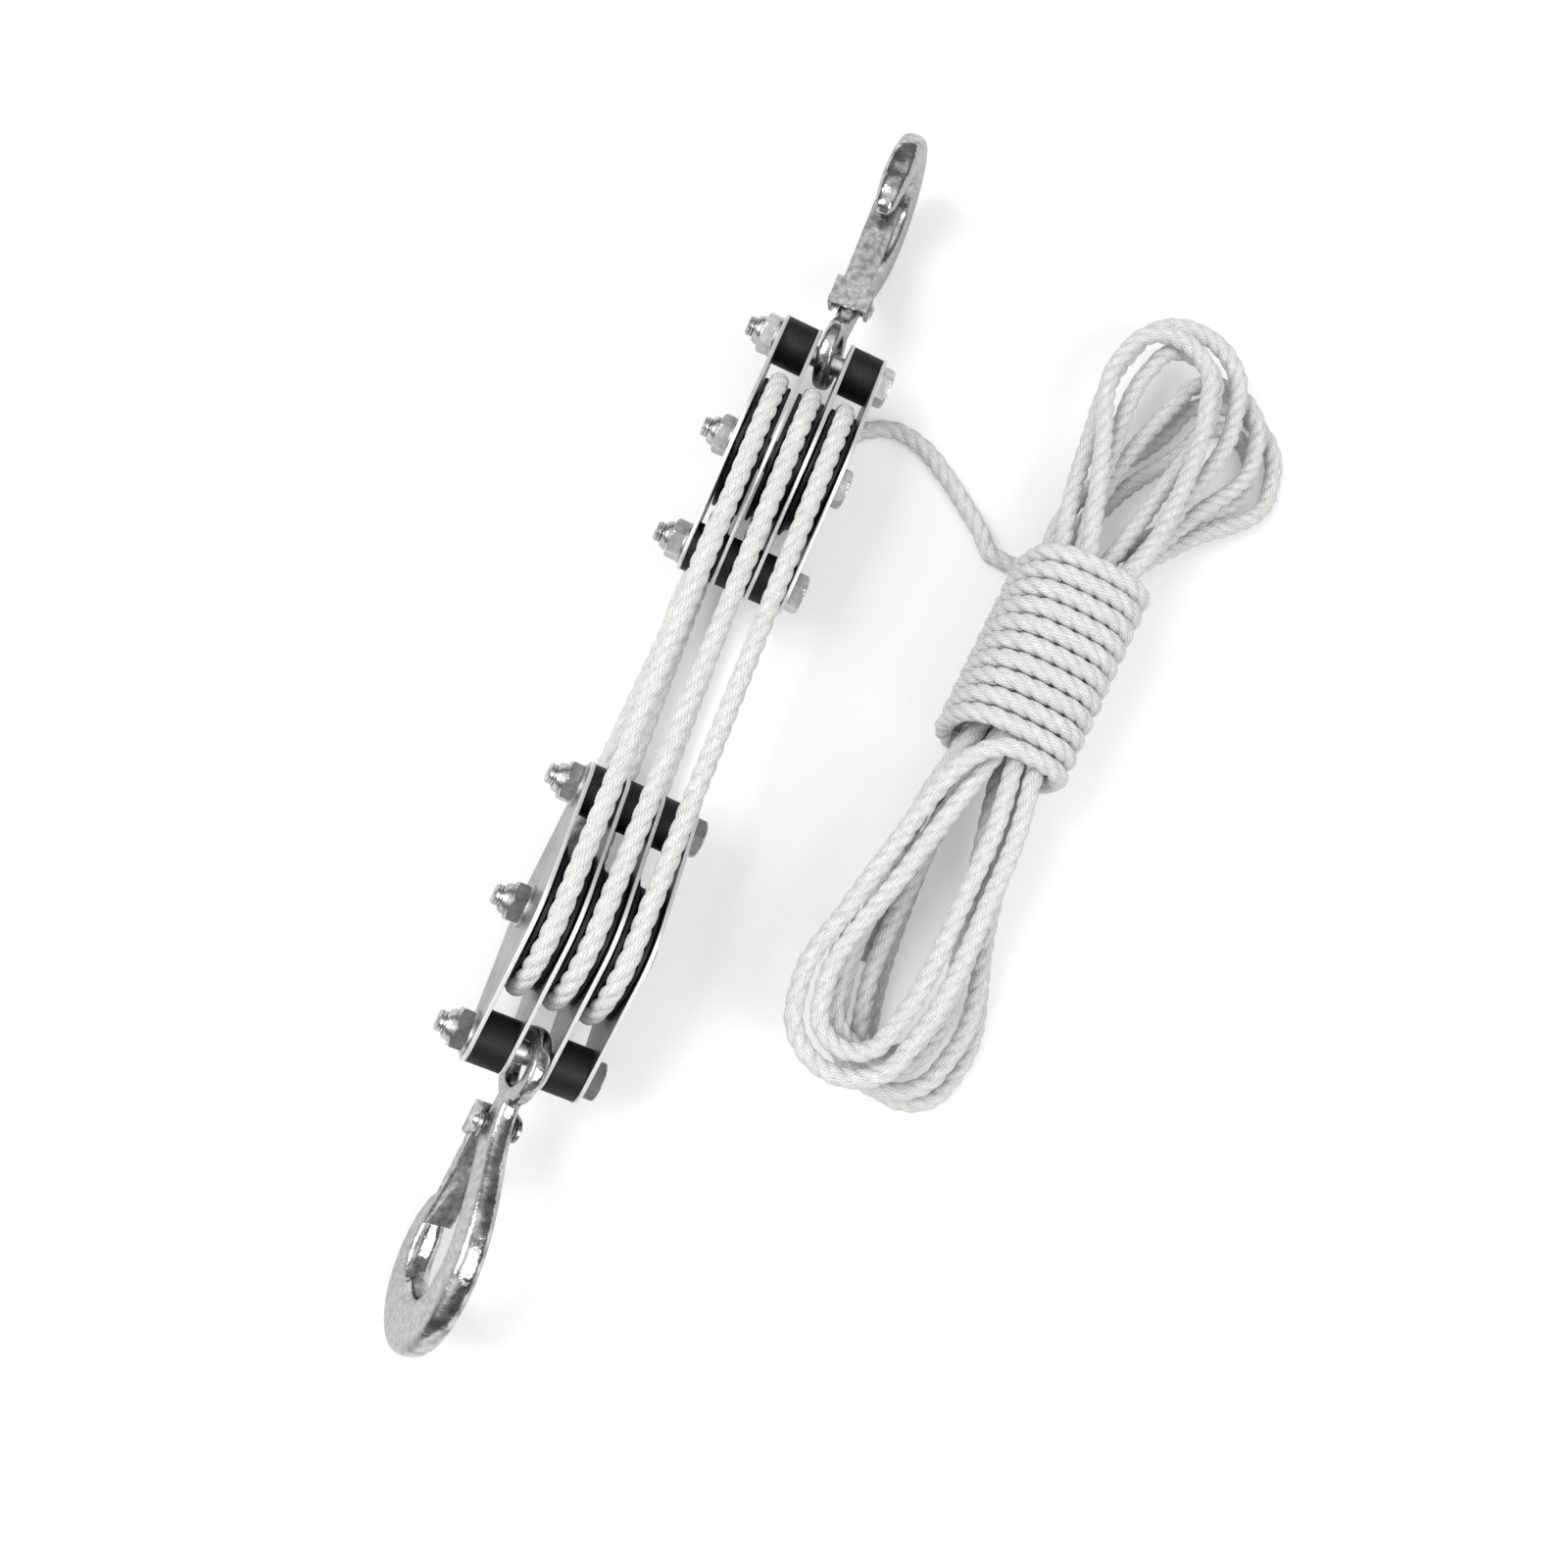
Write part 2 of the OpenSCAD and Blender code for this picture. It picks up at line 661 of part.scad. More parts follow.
// The fold from one slot to another at an end of the hank, without its two end points
function fold(from, to, layer, end, count) =
    let (a = run_point(from, layer, end, 1))
    let (b = run_point(to, layer, end, 1))
    let (mid = (a + b) / 2)
    let (r = (a.x - b.x) / 2)
    [for (k = [1 : count])
        let (turn = 180 * k / (count + 1))
        [mid.x + r * cos(turn), mid.y + end * abs(r) * sin(turn), mid.z]];

// The runs in the order that the rope takes: slot, layer at the bottom, layer at the top
runs = [[-1.5, 3, 3], [1.5, 3, 3], [-0.5, 3, 3], [0.5, 3, 2], [-0.5, 2, 2], [1.5, 2, 2],
    [-1.5, 1, 2], [1.5, 1, 1], [-0.5, 1, 1], [0.5, 1, 0], [-0.5, 0, 0], [1.5, 0, 0],
    [-1.5, 0, 0]];
run_stations = [1, 0.5, 0.18, 0];
bare_end = 0.8;
function half_run(run, end, inward) =
    let (layer = end > 0 ? run[2] : run[1])
    [for (k = [0 : 3]) run_point(run[0], layer, end, run_stations[inward ? k : 3 - k])];
function run_route(j) =
    let (run = runs[j])
    let (up = j % 2 == 1)
    j == 0 ? [for (t = [0.4, 0.7, 1]) run_point(run[0], run[1], -1, t)] :
    j == len(runs) - 1 ? concat(half_run(run, 1, true),
        [for (t = [0, 0.18, 0.5, bare_end]) run_point(run[0], run[1], -1, t)]) :
    up ? concat(half_run(run, -1, true), half_run(run, 1, false)) :
    concat(half_run(run, 1, true), half_run(run, -1, false));
function fold_after(j) =
    let (end = j % 2 == 1 ? 1 : -1)
    fold(runs[j][0], runs[j + 1][0], end > 0 ? runs[j][2] : runs[j][1], end, 4);
hank_list = [for (j = [0 : len(runs) - 1])
    each concat(run_route(j), j < len(runs) - 1 ? fold_after(j) : [])];
join_way = unit(join_points[4] - join_points[3]);
hank_route = [for (p = concat(
    [join_points[4] + join_way * rope_fit, join_points[4] + join_way * lead_l],
    hank_list)) in_hank(p.x, p.y, p.z)];

module rope_hank() {
    color("#f2f1ec") tube(hank_route, rope_r, 6, [0, 0, 1], 30);
}

// Least gaps of the wound rope, measured between points set about a rope's width apart
function route_l(route, i = 1, sum = 0) = i == len(route) ? sum
    : route_l(route, i + 1, sum + norm(route[i] - route[i - 1]));
function dense(route) = [for (i = [0 : len(route) - 2])
    let (n = ceil(norm(route[i + 1] - route[i]) / rope_d))
    each [for (k = [0 : n - 1]) route[i] + (route[i + 1] - route[i]) * k / n]];
function self_gap(points) = min([for (i = [0 : len(points) - 6], j = [i + 5 : len(points) - 1])
    norm(points[i] - points[j])]) - rope_d;
function gap_between(a, b) = min([for (p = a, q = b) norm(p - q)]) - rope_d;

union() {
    echo(wrap_gap = self_gap(dense(wrap_route)), wrap_length = route_l(wrap_route));
    echo(hank_gap = self_gap(dense(hank_route)), hank_length = route_l(hank_route));
    echo(hank_to_wrap = gap_between(dense([for (i = [9 : len(hank_route) - 1]) hank_route[i]]),
        dense(wrap_route)));
    echo(tail_length = route_l(tail_route));
}

upper() plate(-1.5);  // upper_outer_plate_left
upper() plate(-0.5);  // upper_inner_plate_left
upper() plate(0.5);  // upper_inner_plate_right
upper() plate(1.5);  // upper_outer_plate_right
upper() hook_end_spacers();  // upper_hook_end_spacers
upper() rope_end_spacers();  // upper_rope_end_spacers
upper() bolts();  // upper_bolts
upper() washers();  // upper_washers
upper() nuts();  // upper_nuts
upper() axle_sleeves();  // upper_axle_sleeves
upper() sheave(left);  // upper_sheave_left
upper() sheave(middle);  // upper_sheave_middle
upper() sheave(right);  // upper_sheave_right
upper_hook_place() hook();  // upper_hook
upper_hook_place() latch();  // upper_latch
upper_hook_place() latch_pin();  // upper_latch_pin
upper_hook_place() latch_spring();  // upper_latch_spring
lower() plate(-1.5);  // lower_outer_plate_left
lower() plate(-0.5);  // lower_inner_plate_left
lower() plate(0.5);  // lower_inner_plate_right
lower() plate(1.5);  // lower_outer_plate_right
lower() hook_end_spacers();  // lower_hook_end_spacers
lower() rope_end_spacers();  // lower_rope_end_spacers
lower() bolts();  // lower_bolts
lower() washers();  // lower_washers
lower() nuts();  // lower_nuts
lower() axle_sleeves();  // lower_axle_sleeves
lower() sheave(left);  // lower_sheave_left
lower() sheave(middle);  // lower_sheave_middle
lower() sheave(right);  // lower_sheave_right
lower_hook_place() hook();  // lower_hook
lower_hook_place() latch();  // lower_latch
lower_hook_place() latch_pin();  // lower_latch_pin
lower_hook_place() latch_spring();  // lower_latch_spring
dead_end();  // rope_dead_end
upper() upper_bends();  // rope_upper_bends
lower() lower_bends();  // rope_lower_bends
front_falls();  // rope_front_falls
back_falls();  // rope_back_falls
rope_tail();
rope_wrap();
rope_hank();
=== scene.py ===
"""A rope hoist laid on a pale floor: two three-sheave blocks with latched hooks, the rope
reeved between them, and the spare rope put up as a wrapped hank."""
import json
import math

import bmesh
import bpy
import numpy as np
from mathutils import Matrix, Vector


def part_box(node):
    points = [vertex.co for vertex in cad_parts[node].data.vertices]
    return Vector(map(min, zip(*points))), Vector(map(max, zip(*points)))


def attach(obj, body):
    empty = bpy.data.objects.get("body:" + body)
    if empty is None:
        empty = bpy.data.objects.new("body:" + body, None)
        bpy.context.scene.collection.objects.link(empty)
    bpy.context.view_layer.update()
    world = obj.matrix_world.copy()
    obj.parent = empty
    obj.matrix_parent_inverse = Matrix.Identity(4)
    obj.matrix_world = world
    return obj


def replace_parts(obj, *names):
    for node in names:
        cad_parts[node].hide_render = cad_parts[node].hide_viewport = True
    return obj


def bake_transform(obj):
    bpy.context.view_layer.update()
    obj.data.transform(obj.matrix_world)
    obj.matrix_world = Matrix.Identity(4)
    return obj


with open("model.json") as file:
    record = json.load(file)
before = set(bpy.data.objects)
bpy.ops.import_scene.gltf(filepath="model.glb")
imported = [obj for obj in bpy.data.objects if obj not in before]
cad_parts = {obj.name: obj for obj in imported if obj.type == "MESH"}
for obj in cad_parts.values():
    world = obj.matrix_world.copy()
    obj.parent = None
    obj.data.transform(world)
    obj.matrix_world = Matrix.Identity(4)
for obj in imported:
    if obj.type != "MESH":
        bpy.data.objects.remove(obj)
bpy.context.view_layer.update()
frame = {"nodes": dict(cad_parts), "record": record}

# Sizes in millimetres, as in the part's source
MM = 0.001
BAY_PITCH = 17.3
BAY_W = 15.3
PLATE_T = 2.0
BOLT_SPACING = 58.0
PLATE_MID_R = 34.0
PLATE_END_R = 12.5
CHEEK_X = 1.5 * BAY_PITCH + PLATE_T / 2
SPACER_R = 12.0
ROPE_R = 4.75
ROPE_PITCH_R = 32.75
TAIL_ANGLE = 73.0
SPLICE_L = 34.0

JOINTS = {j["name"]: j for j in frame["record"]["behaviour"]["joints"]}


def unit(v):
    """A vector, or each row of an array, at length one."""
    v = np.asarray(v, float)
    return v / np.linalg.norm(v, axis=-1, keepdims=True)


def middle_of(node):
    """The middle of a node's box at rest, in millimetres."""
    low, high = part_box(node)
    return (np.array(low) + np.array(high)) / 2 / MM


def turn_y(degrees):
    """A turn about Y, as a matrix."""
    c, s = math.cos(math.radians(degrees)), math.sin(math.radians(degrees))
    return np.array([[c, 0, s], [0, 1, 0], [-s, 0, c]])


# Places, read from the frame. A place is an origin and three axes as columns
spin_axis = JOINTS["lower_sheave_middle_spin"]["axis"]
LOWER_ROLL = math.degrees(math.atan2(-spin_axis[2], spin_axis[0]))
UPPER = (middle_of("upper_sheave_middle"), np.eye(3))
LOWER = (middle_of("lower_sheave_middle"), turn_y(LOWER_ROLL) @ np.diag([1.0, -1.0, -1.0]))
BLOCKS = {"upper": UPPER, "lower": LOWER}


def placed(place, points):
    """Points of a place's own frame, in the hoist's frame."""
    origin, axes = place
    return np.asarray(points, float) @ axes.T + origin


# Camera, at the photograph's viewing angle
CAMERA_FROM_UPPER_AXLE = (-8.6, -270.3, 583.9)
CAMERA_RIGHT = (0.91175, 0.36739, 0.18366)
CAMERA_LOOK = (0.11213, 0.20754, -0.97178)
FOCAL_PIXELS = 1319.0
PHOTO_PIXELS = 1600.0
SENSOR_MM = 36.0
CAMERA_SEES = 20.0


def aimed(place, right, back):
    """The matrix of a camera or lamp at a place that looks away from back."""
    matrix = np.eye(4)
    matrix[:3, :3] = np.column_stack([right, np.cross(back, right), back])
    matrix[:3, 3] = place
    return Matrix(matrix.tolist())


def make_camera():
    """The photograph's camera, placed from the upper block's middle."""
    data = bpy.data.cameras.new("camera")
    data.sensor_width = SENSOR_MM
    data.lens = FOCAL_PIXELS / PHOTO_PIXELS * SENSOR_MM
    data.clip_end = CAMERA_SEES
    camera = bpy.data.objects.new("camera", data)
    right, back = unit(CAMERA_RIGHT), -unit(CAMERA_LOOK)
    camera.matrix_world = aimed((UPPER[0] + CAMERA_FROM_UPPER_AXLE) * MM, right, back)
    bpy.context.scene.collection.objects.link(camera)
    bpy.context.scene.camera = camera


make_camera()


# Meshes

def mesh_piece(name, body, made_of, verts, faces, uvs=None):
    """A piece in millimetres that rides on a body. uvs holds one pair for each face corner.
    Quads are smooth, and the polygons that close an end are flat."""
    mesh = bpy.data.meshes.new(name)
    mesh.from_pydata((np.asarray(verts) * MM).tolist(), [], faces)
    if uvs is not None:
        layer = mesh.uv_layers.new(name="UVMap")
        layer.data.foreach_set("uv", np.asarray(uvs, dtype=np.float32).ravel())
    mesh.polygons.foreach_set("use_smooth", [len(f) == 4 for f in faces])
    mesh.materials.append(made_of)
    mesh.update()
    piece = bpy.data.objects.new(name, mesh)
    bpy.context.scene.collection.objects.link(piece)
    if body:
        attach(piece, body)
    return piece


def grid_faces(rows, columns, closed_rows=False):
    """Quads of a grid whose columns close on themselves, numbered row by row."""
    i = np.arange(rows if closed_rows else rows - 1)[:, None]
    j = np.arange(columns)[None, :]
    following = (i + 1) % rows
    right = (j + 1) % columns
    quads = np.stack([i * columns + j, i * columns + right, following * columns + right,
                      following * columns + j], axis=-1)
    return quads.reshape(-1, 4).tolist()


def tube_faces(rows, columns):
    """The grid's quads, and one polygon over its first row and one over its last."""
    first = list(range(columns))
    last = [k + (rows - 1) * columns for k in first]
    return grid_faces(rows, columns) + [first[::-1], last]


def joined(parts):
    """Several (verts, faces) as one."""
    verts, faces, base = [], [], 0
    for v, f in parts:
        verts.append(np.asarray(v, float).reshape(-1, 3))
        faces += [[k + base for k in face] for face in f]
        base += len(verts[-1])
    return np.concatenate(verts), faces


def turn_angles(count):
    """Even angles round a whole turn."""
    return np.linspace(0, 2 * np.pi, count, endpoint=False)


def around_x(x, r, count):
    """The grid of points (x, r cos theta, r sin theta), with count angles theta in a turn. A
    row has one x, and one r or an r for each angle."""
    theta = turn_angles(count)
    x = np.repeat(np.asarray(x)[:, None], count, 1)
    return np.stack([x, r * np.cos(theta), r * np.sin(theta)], axis=-1)


def turned(profile, count=96):
    """Surface of revolution about X, from a profile of pairs x, r that runs from one pole to
    the other, or closes."""
    profile = np.asarray(profile, float)
    closed = np.allclose(profile[0], profile[-1])
    if closed:
        profile = profile[:-1]
    grid = around_x(profile[:, 0], profile[:, 1:], count)
    rows = len(grid)
    faces = grid_faces(rows, count, True) if closed else tube_faces(rows, count)
    return grid.reshape(-1, 3), faces


CORNER_SHARE = 0.45


def rounded(corners, radius, steps=4):
    """An outline with each corner cut by a quarter curve: between the two points at the given
    radius from the corner, a quadratic curve bends towards it."""
    corners = [np.asarray(c, float) for c in corners]
    out = [corners[0]]
    for a, b, c in zip(corners, corners[1:], corners[2:]):
        ab, bc = np.linalg.norm(b - a), np.linalg.norm(c - b)
        r = min(radius, CORNER_SHARE * ab, CORNER_SHARE * bc)
        p, q = b + (a - b) / ab * r, b + (c - b) / bc * r
        for t in np.linspace(0, 1, steps + 1):
            out.append((1 - t) ** 2 * p + 2 * t * (1 - t) * b + t ** 2 * q)
    out.append(corners[-1])
    return np.array(out)


# Materials

FINISH = "_finish"


def material(slot, base, roughness, metallic=0.0):
    """A new material, named after a slot with _finish added, with its shader."""
    made = bpy.data.materials.new(slot + FINISH)
    made.use_nodes = True
    nodes = made.node_tree.nodes
    shader = nodes["Principled BSDF"]
    shader.inputs["Base Color"].default_value = (*base, 1)
    shader.inputs["Roughness"].default_value = roughness
    shader.inputs["Metallic"].default_value = metallic
    return made, nodes, made.node_tree.links, shader


def feed(links, socket, value):
    """Gives a socket a number or colour of its own, or another node's output."""
    if isinstance(value, bpy.types.NodeSocket):
        links.new(value, socket)
    else:
        socket.default_value = value


def calc(nodes, links, operation, *values):
    """The result of a math node on numbers or other nodes' outputs."""
    node = nodes.new("ShaderNodeMath")
    node.operation = operation
    for socket, value in zip(node.inputs, values):
        feed(links, socket, value)
    return node.outputs[0]


def mixed(nodes, links, factor, a, b, blend="MIX"):
    """Two colours mixed by a factor."""
    node = nodes.new("ShaderNodeMix")
    node.data_type = "RGBA"
    node.blend_type = blend
    feed(links, node.inputs["Factor"], factor)
    feed(links, node.inputs["A"], a)
    feed(links, node.inputs["B"], b)
    return node.outputs["Result"]


def attribute(nodes, name):
    """One of the piece's own values."""
    node = nodes.new("ShaderNodeAttribute")
    node.attribute_name = name
    return node.outputs["Fac"]


NOISE_ROUGH = 0.55


def object_noise(nodes, links, scale, detail=4.0):
    """Noise on object coordinates, its cells 1 / scale metres wide."""
    where = nodes.new("ShaderNodeTexCoord")
    noise = nodes.new("ShaderNodeTexNoise")
    noise.inputs["Scale"].default_value = scale
    noise.inputs["Detail"].default_value = detail
    noise.inputs["Roughness"].default_value = NOISE_ROUGH
    links.new(where.outputs["Object"], noise.inputs["Vector"])
    return noise.outputs["Fac"]


def ramp(nodes, links, value, low, high, low_tone, high_tone):
    """Colours from low_tone, where the value is low, to high_tone, where it is high."""
    node = nodes.new("ShaderNodeValToRGB")
    for element, place, colour in zip(node.color_ramp.elements, (low, high),
                                    (low_tone, high_tone)):
        element.position = place
        element.color = (*colour, 1)
    links.new(value, node.inputs["Fac"])
    return node.outputs["Color"]


def bump(nodes, links, shader, height, strength, distance):
    """A relief of a shader's surface, distance metres deep."""
    node = nodes.new("ShaderNodeBump")
    node.inputs["Strength"].default_value = strength
    node.inputs["Distance"].default_value = distance
    links.new(height, node.inputs["Height"])
    links.new(node.outputs["Normal"], shader.inputs["Normal"])


def spread(nodes, links, value, low, high):
    """A value between 0 and 1, carried over to low to high."""
    node = nodes.new("ShaderNodeMapRange")
    node.inputs["To Min"].default_value = low
    node.inputs["To Max"].default_value = high
    links.new(value, node.inputs["Value"])
    return node.outputs["Result"]


def grey(v):
    """A grey that is faintly cool."""
    return (v, v, v * 1.01)


RIM_DULLER = 0.2


def zinc(name, dark, light, polished, dull, scale, rim=None):
    """Bright zinc: cloudy tone, fine grain and patches of duller polish. With a rim tone, the
    piece's rim attribute paints a highlight on its edges, a brighter tone, and takes off their
    polish."""
    made, nodes, links, shader = material(name, grey(light), roughness=0.3,
                                          metallic=1.0)
    cloud = object_noise(nodes, links, scale)
    tone = ramp(nodes, links, cloud, low=0.35, high=0.65, low_tone=grey(dark),
                high_tone=grey(light))
    polish = spread(nodes, links, object_noise(nodes, links, scale * 3), polished, dull)
    if rim:
        # Painted highlight: along the rim the tone is brightened towards the rim tone.
        painted_rim_highlight = attribute(nodes, "rim")
        tone = mixed(nodes, links, painted_rim_highlight, tone, (*grey(rim), 1))
        polish = calc(nodes, links, "MULTIPLY_ADD", painted_rim_highlight, RIM_DULLER, polish)
    links.new(tone, shader.inputs["Base Color"])
    links.new(polish, shader.inputs["Roughness"])
    grain = object_noise(nodes, links, scale=2600, detail=2.0)
    bump(nodes, links, shader, grain, strength=0.12, distance=0.0002)
    return made


def moulded_plastic(name, tone, polished, dull):
    """Black plastic: even tone, slight sheen changes and a fine moulded grain."""
    made, nodes, links, shader = material(name, grey(tone), roughness=0.4)
    shader.inputs["Specular IOR Level"].default_value = 0.35
    cloud = object_noise(nodes, links, scale=90)
    shades = ramp(nodes, links, cloud, low=0.3, high=0.7, low_tone=grey(tone * 0.7),
                  high_tone=grey(tone * 1.35))
    links.new(shades, shader.inputs["Base Color"])
    sheen = object_noise(nodes, links, scale=260)
    links.new(spread(nodes, links, sheen, polished, dull), shader.inputs["Roughness"])
    grain = object_noise(nodes, links, scale=4200, detail=2.0)
    bump(nodes, links, shader, grain, strength=0.1, distance=0.0002)
    return made


def galvanised_forging():
    """The hooks: mottled light flats, and bright-rolled edges whose tone is darker, with dark
    and light streaks painted in as reflections, told apart by the piece's own flat attribute."""
    made, nodes, links, shader = material("forged_hook", grey(0.7), roughness=0.3,
                                          metallic=1.0)
    flat = attribute(nodes, "flat")
    spots = object_noise(nodes, links, scale=420, detail=5.0)
    pale = ramp(nodes, links, spots, low=0.34, high=0.64, low_tone=grey(0.46),
                high_tone=grey(0.66))
    # Painted reflection: the rolled edges' tone has dark and light streaks that stand for
    # streaky reflections.
    reflection_streaks = object_noise(nodes, links, scale=150, detail=6.0)
    rolled_painted_reflections = ramp(nodes, links, reflection_streaks, low=0.36, high=0.62, low_tone=grey(0.28),
                  high_tone=grey(0.72))
    links.new(mixed(nodes, links, flat, rolled_painted_reflections, pale), shader.inputs["Base Color"])
    links.new(spread(nodes, links, flat, low=0.12, high=0.4), shader.inputs["Roughness"])
    dents = object_noise(nodes, links, scale=240, detail=3.0)
    bump(nodes, links, shader, dents, strength=0.3, distance=0.0012)
    return made


STRANDS = 3
YARNS, YARN_CIRCLE, YARN_CELLS = 18, 9.0, 5.0
STITCHES, STITCH_SHARE = 5, 0.24


def twisted_rope():
    """White laid rope. The UV map holds the place round a strand's lay, in turns, and the
    length, in lay pitches. Yarns run nearly along the rope, so their pattern reads the angle
    u + v, taken round a circle, and they come up in short staggered stitches. The hollows
    between strands have painted shade: their tone is a little darker."""
    made, nodes, links, shader = material("white_rope", (0.93, 0.925, 0.91), roughness=0.7)
    shader.inputs["Sheen Weight"].default_value = 0.25
    uv = nodes.new("ShaderNodeUVMap")
    uv.uv_map = "UVMap"
    parts = nodes.new("ShaderNodeSeparateXYZ")
    links.new(uv.outputs["UV"], parts.inputs["Vector"])
    u, v = parts.outputs["X"], parts.outputs["Y"]

    def maths(operation, *values):
        return calc(nodes, links, operation, *values)

    def wave(operation, turns):
        """The sine or cosine of an angle in turns."""
        return maths(operation, maths("MULTIPLY", turns, 2 * math.pi))

    angle = maths("ADD", u, v)
    around = nodes.new("ShaderNodeCombineXYZ")
    links.new(maths("MULTIPLY", wave("COSINE", angle), YARN_CIRCLE), around.inputs["X"])
    links.new(maths("MULTIPLY", wave("SINE", angle), YARN_CIRCLE), around.inputs["Y"])
    links.new(maths("MULTIPLY", v, YARN_CELLS), around.inputs["Z"])
    yarn = nodes.new("ShaderNodeTexNoise")
    yarn.inputs["Scale"].default_value = 1.0
    yarn.inputs["Detail"].default_value = 3.0
    links.new(around.outputs["Vector"], yarn.inputs["Vector"])
    stitch = maths("MULTIPLY", wave("COSINE", maths("MULTIPLY", angle, YARNS)),
                   wave("COSINE", maths("MULTIPLY", v, STITCHES)))
    fibre = maths("MULTIPLY_ADD", stitch, STITCH_SHARE, yarn.outputs["Fac"])
    tone = ramp(nodes, links, fibre, low=0.32, high=0.66, low_tone=(0.64, 0.638, 0.632),
                high_tone=(0.92, 0.917, 0.91))
    # Painted shade: the hollows between strands are made darker in colour.
    place = maths("FRACT", maths("MULTIPLY", u, STRANDS))
    across = maths("ABSOLUTE", maths("SUBTRACT", place, 0.5))
    hollow_painted_shade = ramp(nodes, links, across, low=0.38, high=0.5, low_tone=(1, 1, 1),
                  high_tone=(0.88, 0.877, 0.87))
    shade = mixed(nodes, links, 1.0, tone, hollow_painted_shade, blend="MULTIPLY")
    links.new(shade, shader.inputs["Base Color"])
    bump(nodes, links, shader, fibre, strength=0.8, distance=0.0008)
    return made


# The plates' rim tone is a highlight painted along their edges.
ZINC_PLATE = zinc("zinc_plate", dark=0.42, light=0.56, polished=0.26, dull=0.42, scale=60,
                  rim=0.97)
ZINC_BOLT = zinc("zinc_bolt", dark=0.5, light=0.75, polished=0.18, dull=0.34, scale=140)
ZINC_LATCH = zinc("zinc_latch", dark=0.34, light=0.72, polished=0.2, dull=0.36, scale=300)
SPRING_STEEL = zinc("spring_steel", dark=0.3, light=0.45, polished=0.25, dull=0.35, scale=200)
FORGING = galvanised_forging()
SPACER_PLASTIC = moulded_plastic("black_plastic", tone=0.007, polished=0.42, dull=0.55)
SHEAVE_NYLON = moulded_plastic("black_nylon", tone=0.007, polished=0.34, dull=0.5)
ROPE = twisted_rope()


# The rope's route

LAY_PITCH = 26.0
RING_STEP = 1.8
STRAND_POINTS = 7
STRAND_DEPTH = 0.34
LOBE_SHARE, HOLLOW_SHARE = 0.985, 0.02


def resampled(points):
    """The same polyline with points a ring's step apart along it."""
    length = lengths_along(points)
    even = np.linspace(0, length[-1], int(round(length[-1] / RING_STEP)) + 1)
    return np.column_stack([np.interp(even, length, points[:, k]) for k in range(3)])


def smooth_curve(points, fine, start=None):
    """A Hermite curve through points, with fine points to a span. Each span is a cubic that
    leaves and meets its end points at the length of the span, along the mean of the lines on
    both sides, the shorter of which weighs more."""
    p = np.asarray(points, float)
    spans = np.linalg.norm(np.diff(p, axis=0), axis=1)
    way = np.empty_like(p)
    before, after = spans[:-1, None], spans[1:, None]
    step = np.diff(p, axis=0)
    way[1:-1] = unit(step[:-1] / before ** 2 * after + step[1:] / after ** 2 * before)
    way[0] = unit(p[1] - p[0]) if start is None else unit(start)
    way[-1] = unit(p[-1] - p[-2])
    t = np.linspace(0, 1, fine, endpoint=False)[None, :, None]
    a, b = p[:-1, None], p[1:, None]
    ta, tb = (way[:-1] * spans[:, None])[:, None], (way[1:] * spans[:, None])[:, None]
    curve = ((2 * t ** 3 - 3 * t ** 2 + 1) * a + (t ** 3 - 2 * t ** 2 + t) * ta
             + (3 * t ** 2 - 2 * t ** 3) * b + (t ** 3 - t ** 2) * tb)
    return np.concatenate([curve.reshape(-1, 3), p[-1:]])


def carried_normals(points, seed=(1, 0, 0)):
    """Tangents along a polyline, and a vector square to each, carried with the least twist
    from a seed."""
    tangent = unit(np.gradient(points, axis=0))
    normal = np.empty_like(points)
    n = np.array(seed, float)
    for k, t in enumerate(tangent):
        n = n - (n @ t) * t
        n = n / math.sqrt(n @ n)
        normal[k] = n
    return tangent, normal


def lengths_along(route):
    """Length from a route's start to each of its points."""
    return np.r_[0, np.cumsum(np.linalg.norm(np.diff(route, axis=0), axis=1))]


def strand_outline(lobes):
    """Radii round a bundle of touching round strands, for a bundle of radius 1. A strand's
    centre is d from the axis and its radius is s, so at angle a from it the outside is at
    d cos a + sqrt(s^2 - d^2 sin^2 a). STRAND_DEPTH then scales the hollows' depth."""
    d = 1 / (1 + math.sin(math.pi / lobes))
    s = 1 - d
    a = (np.arange(STRAND_POINTS) / STRAND_POINTS - 0.5) * 2 * math.pi / lobes * LOBE_SHARE
    inside = np.maximum(s * s - (d * np.sin(a)) ** 2, HOLLOW_SHARE * s * s)
    return np.tile(1 - STRAND_DEPTH * (1 - d * np.cos(a) - np.sqrt(inside)), lobes)


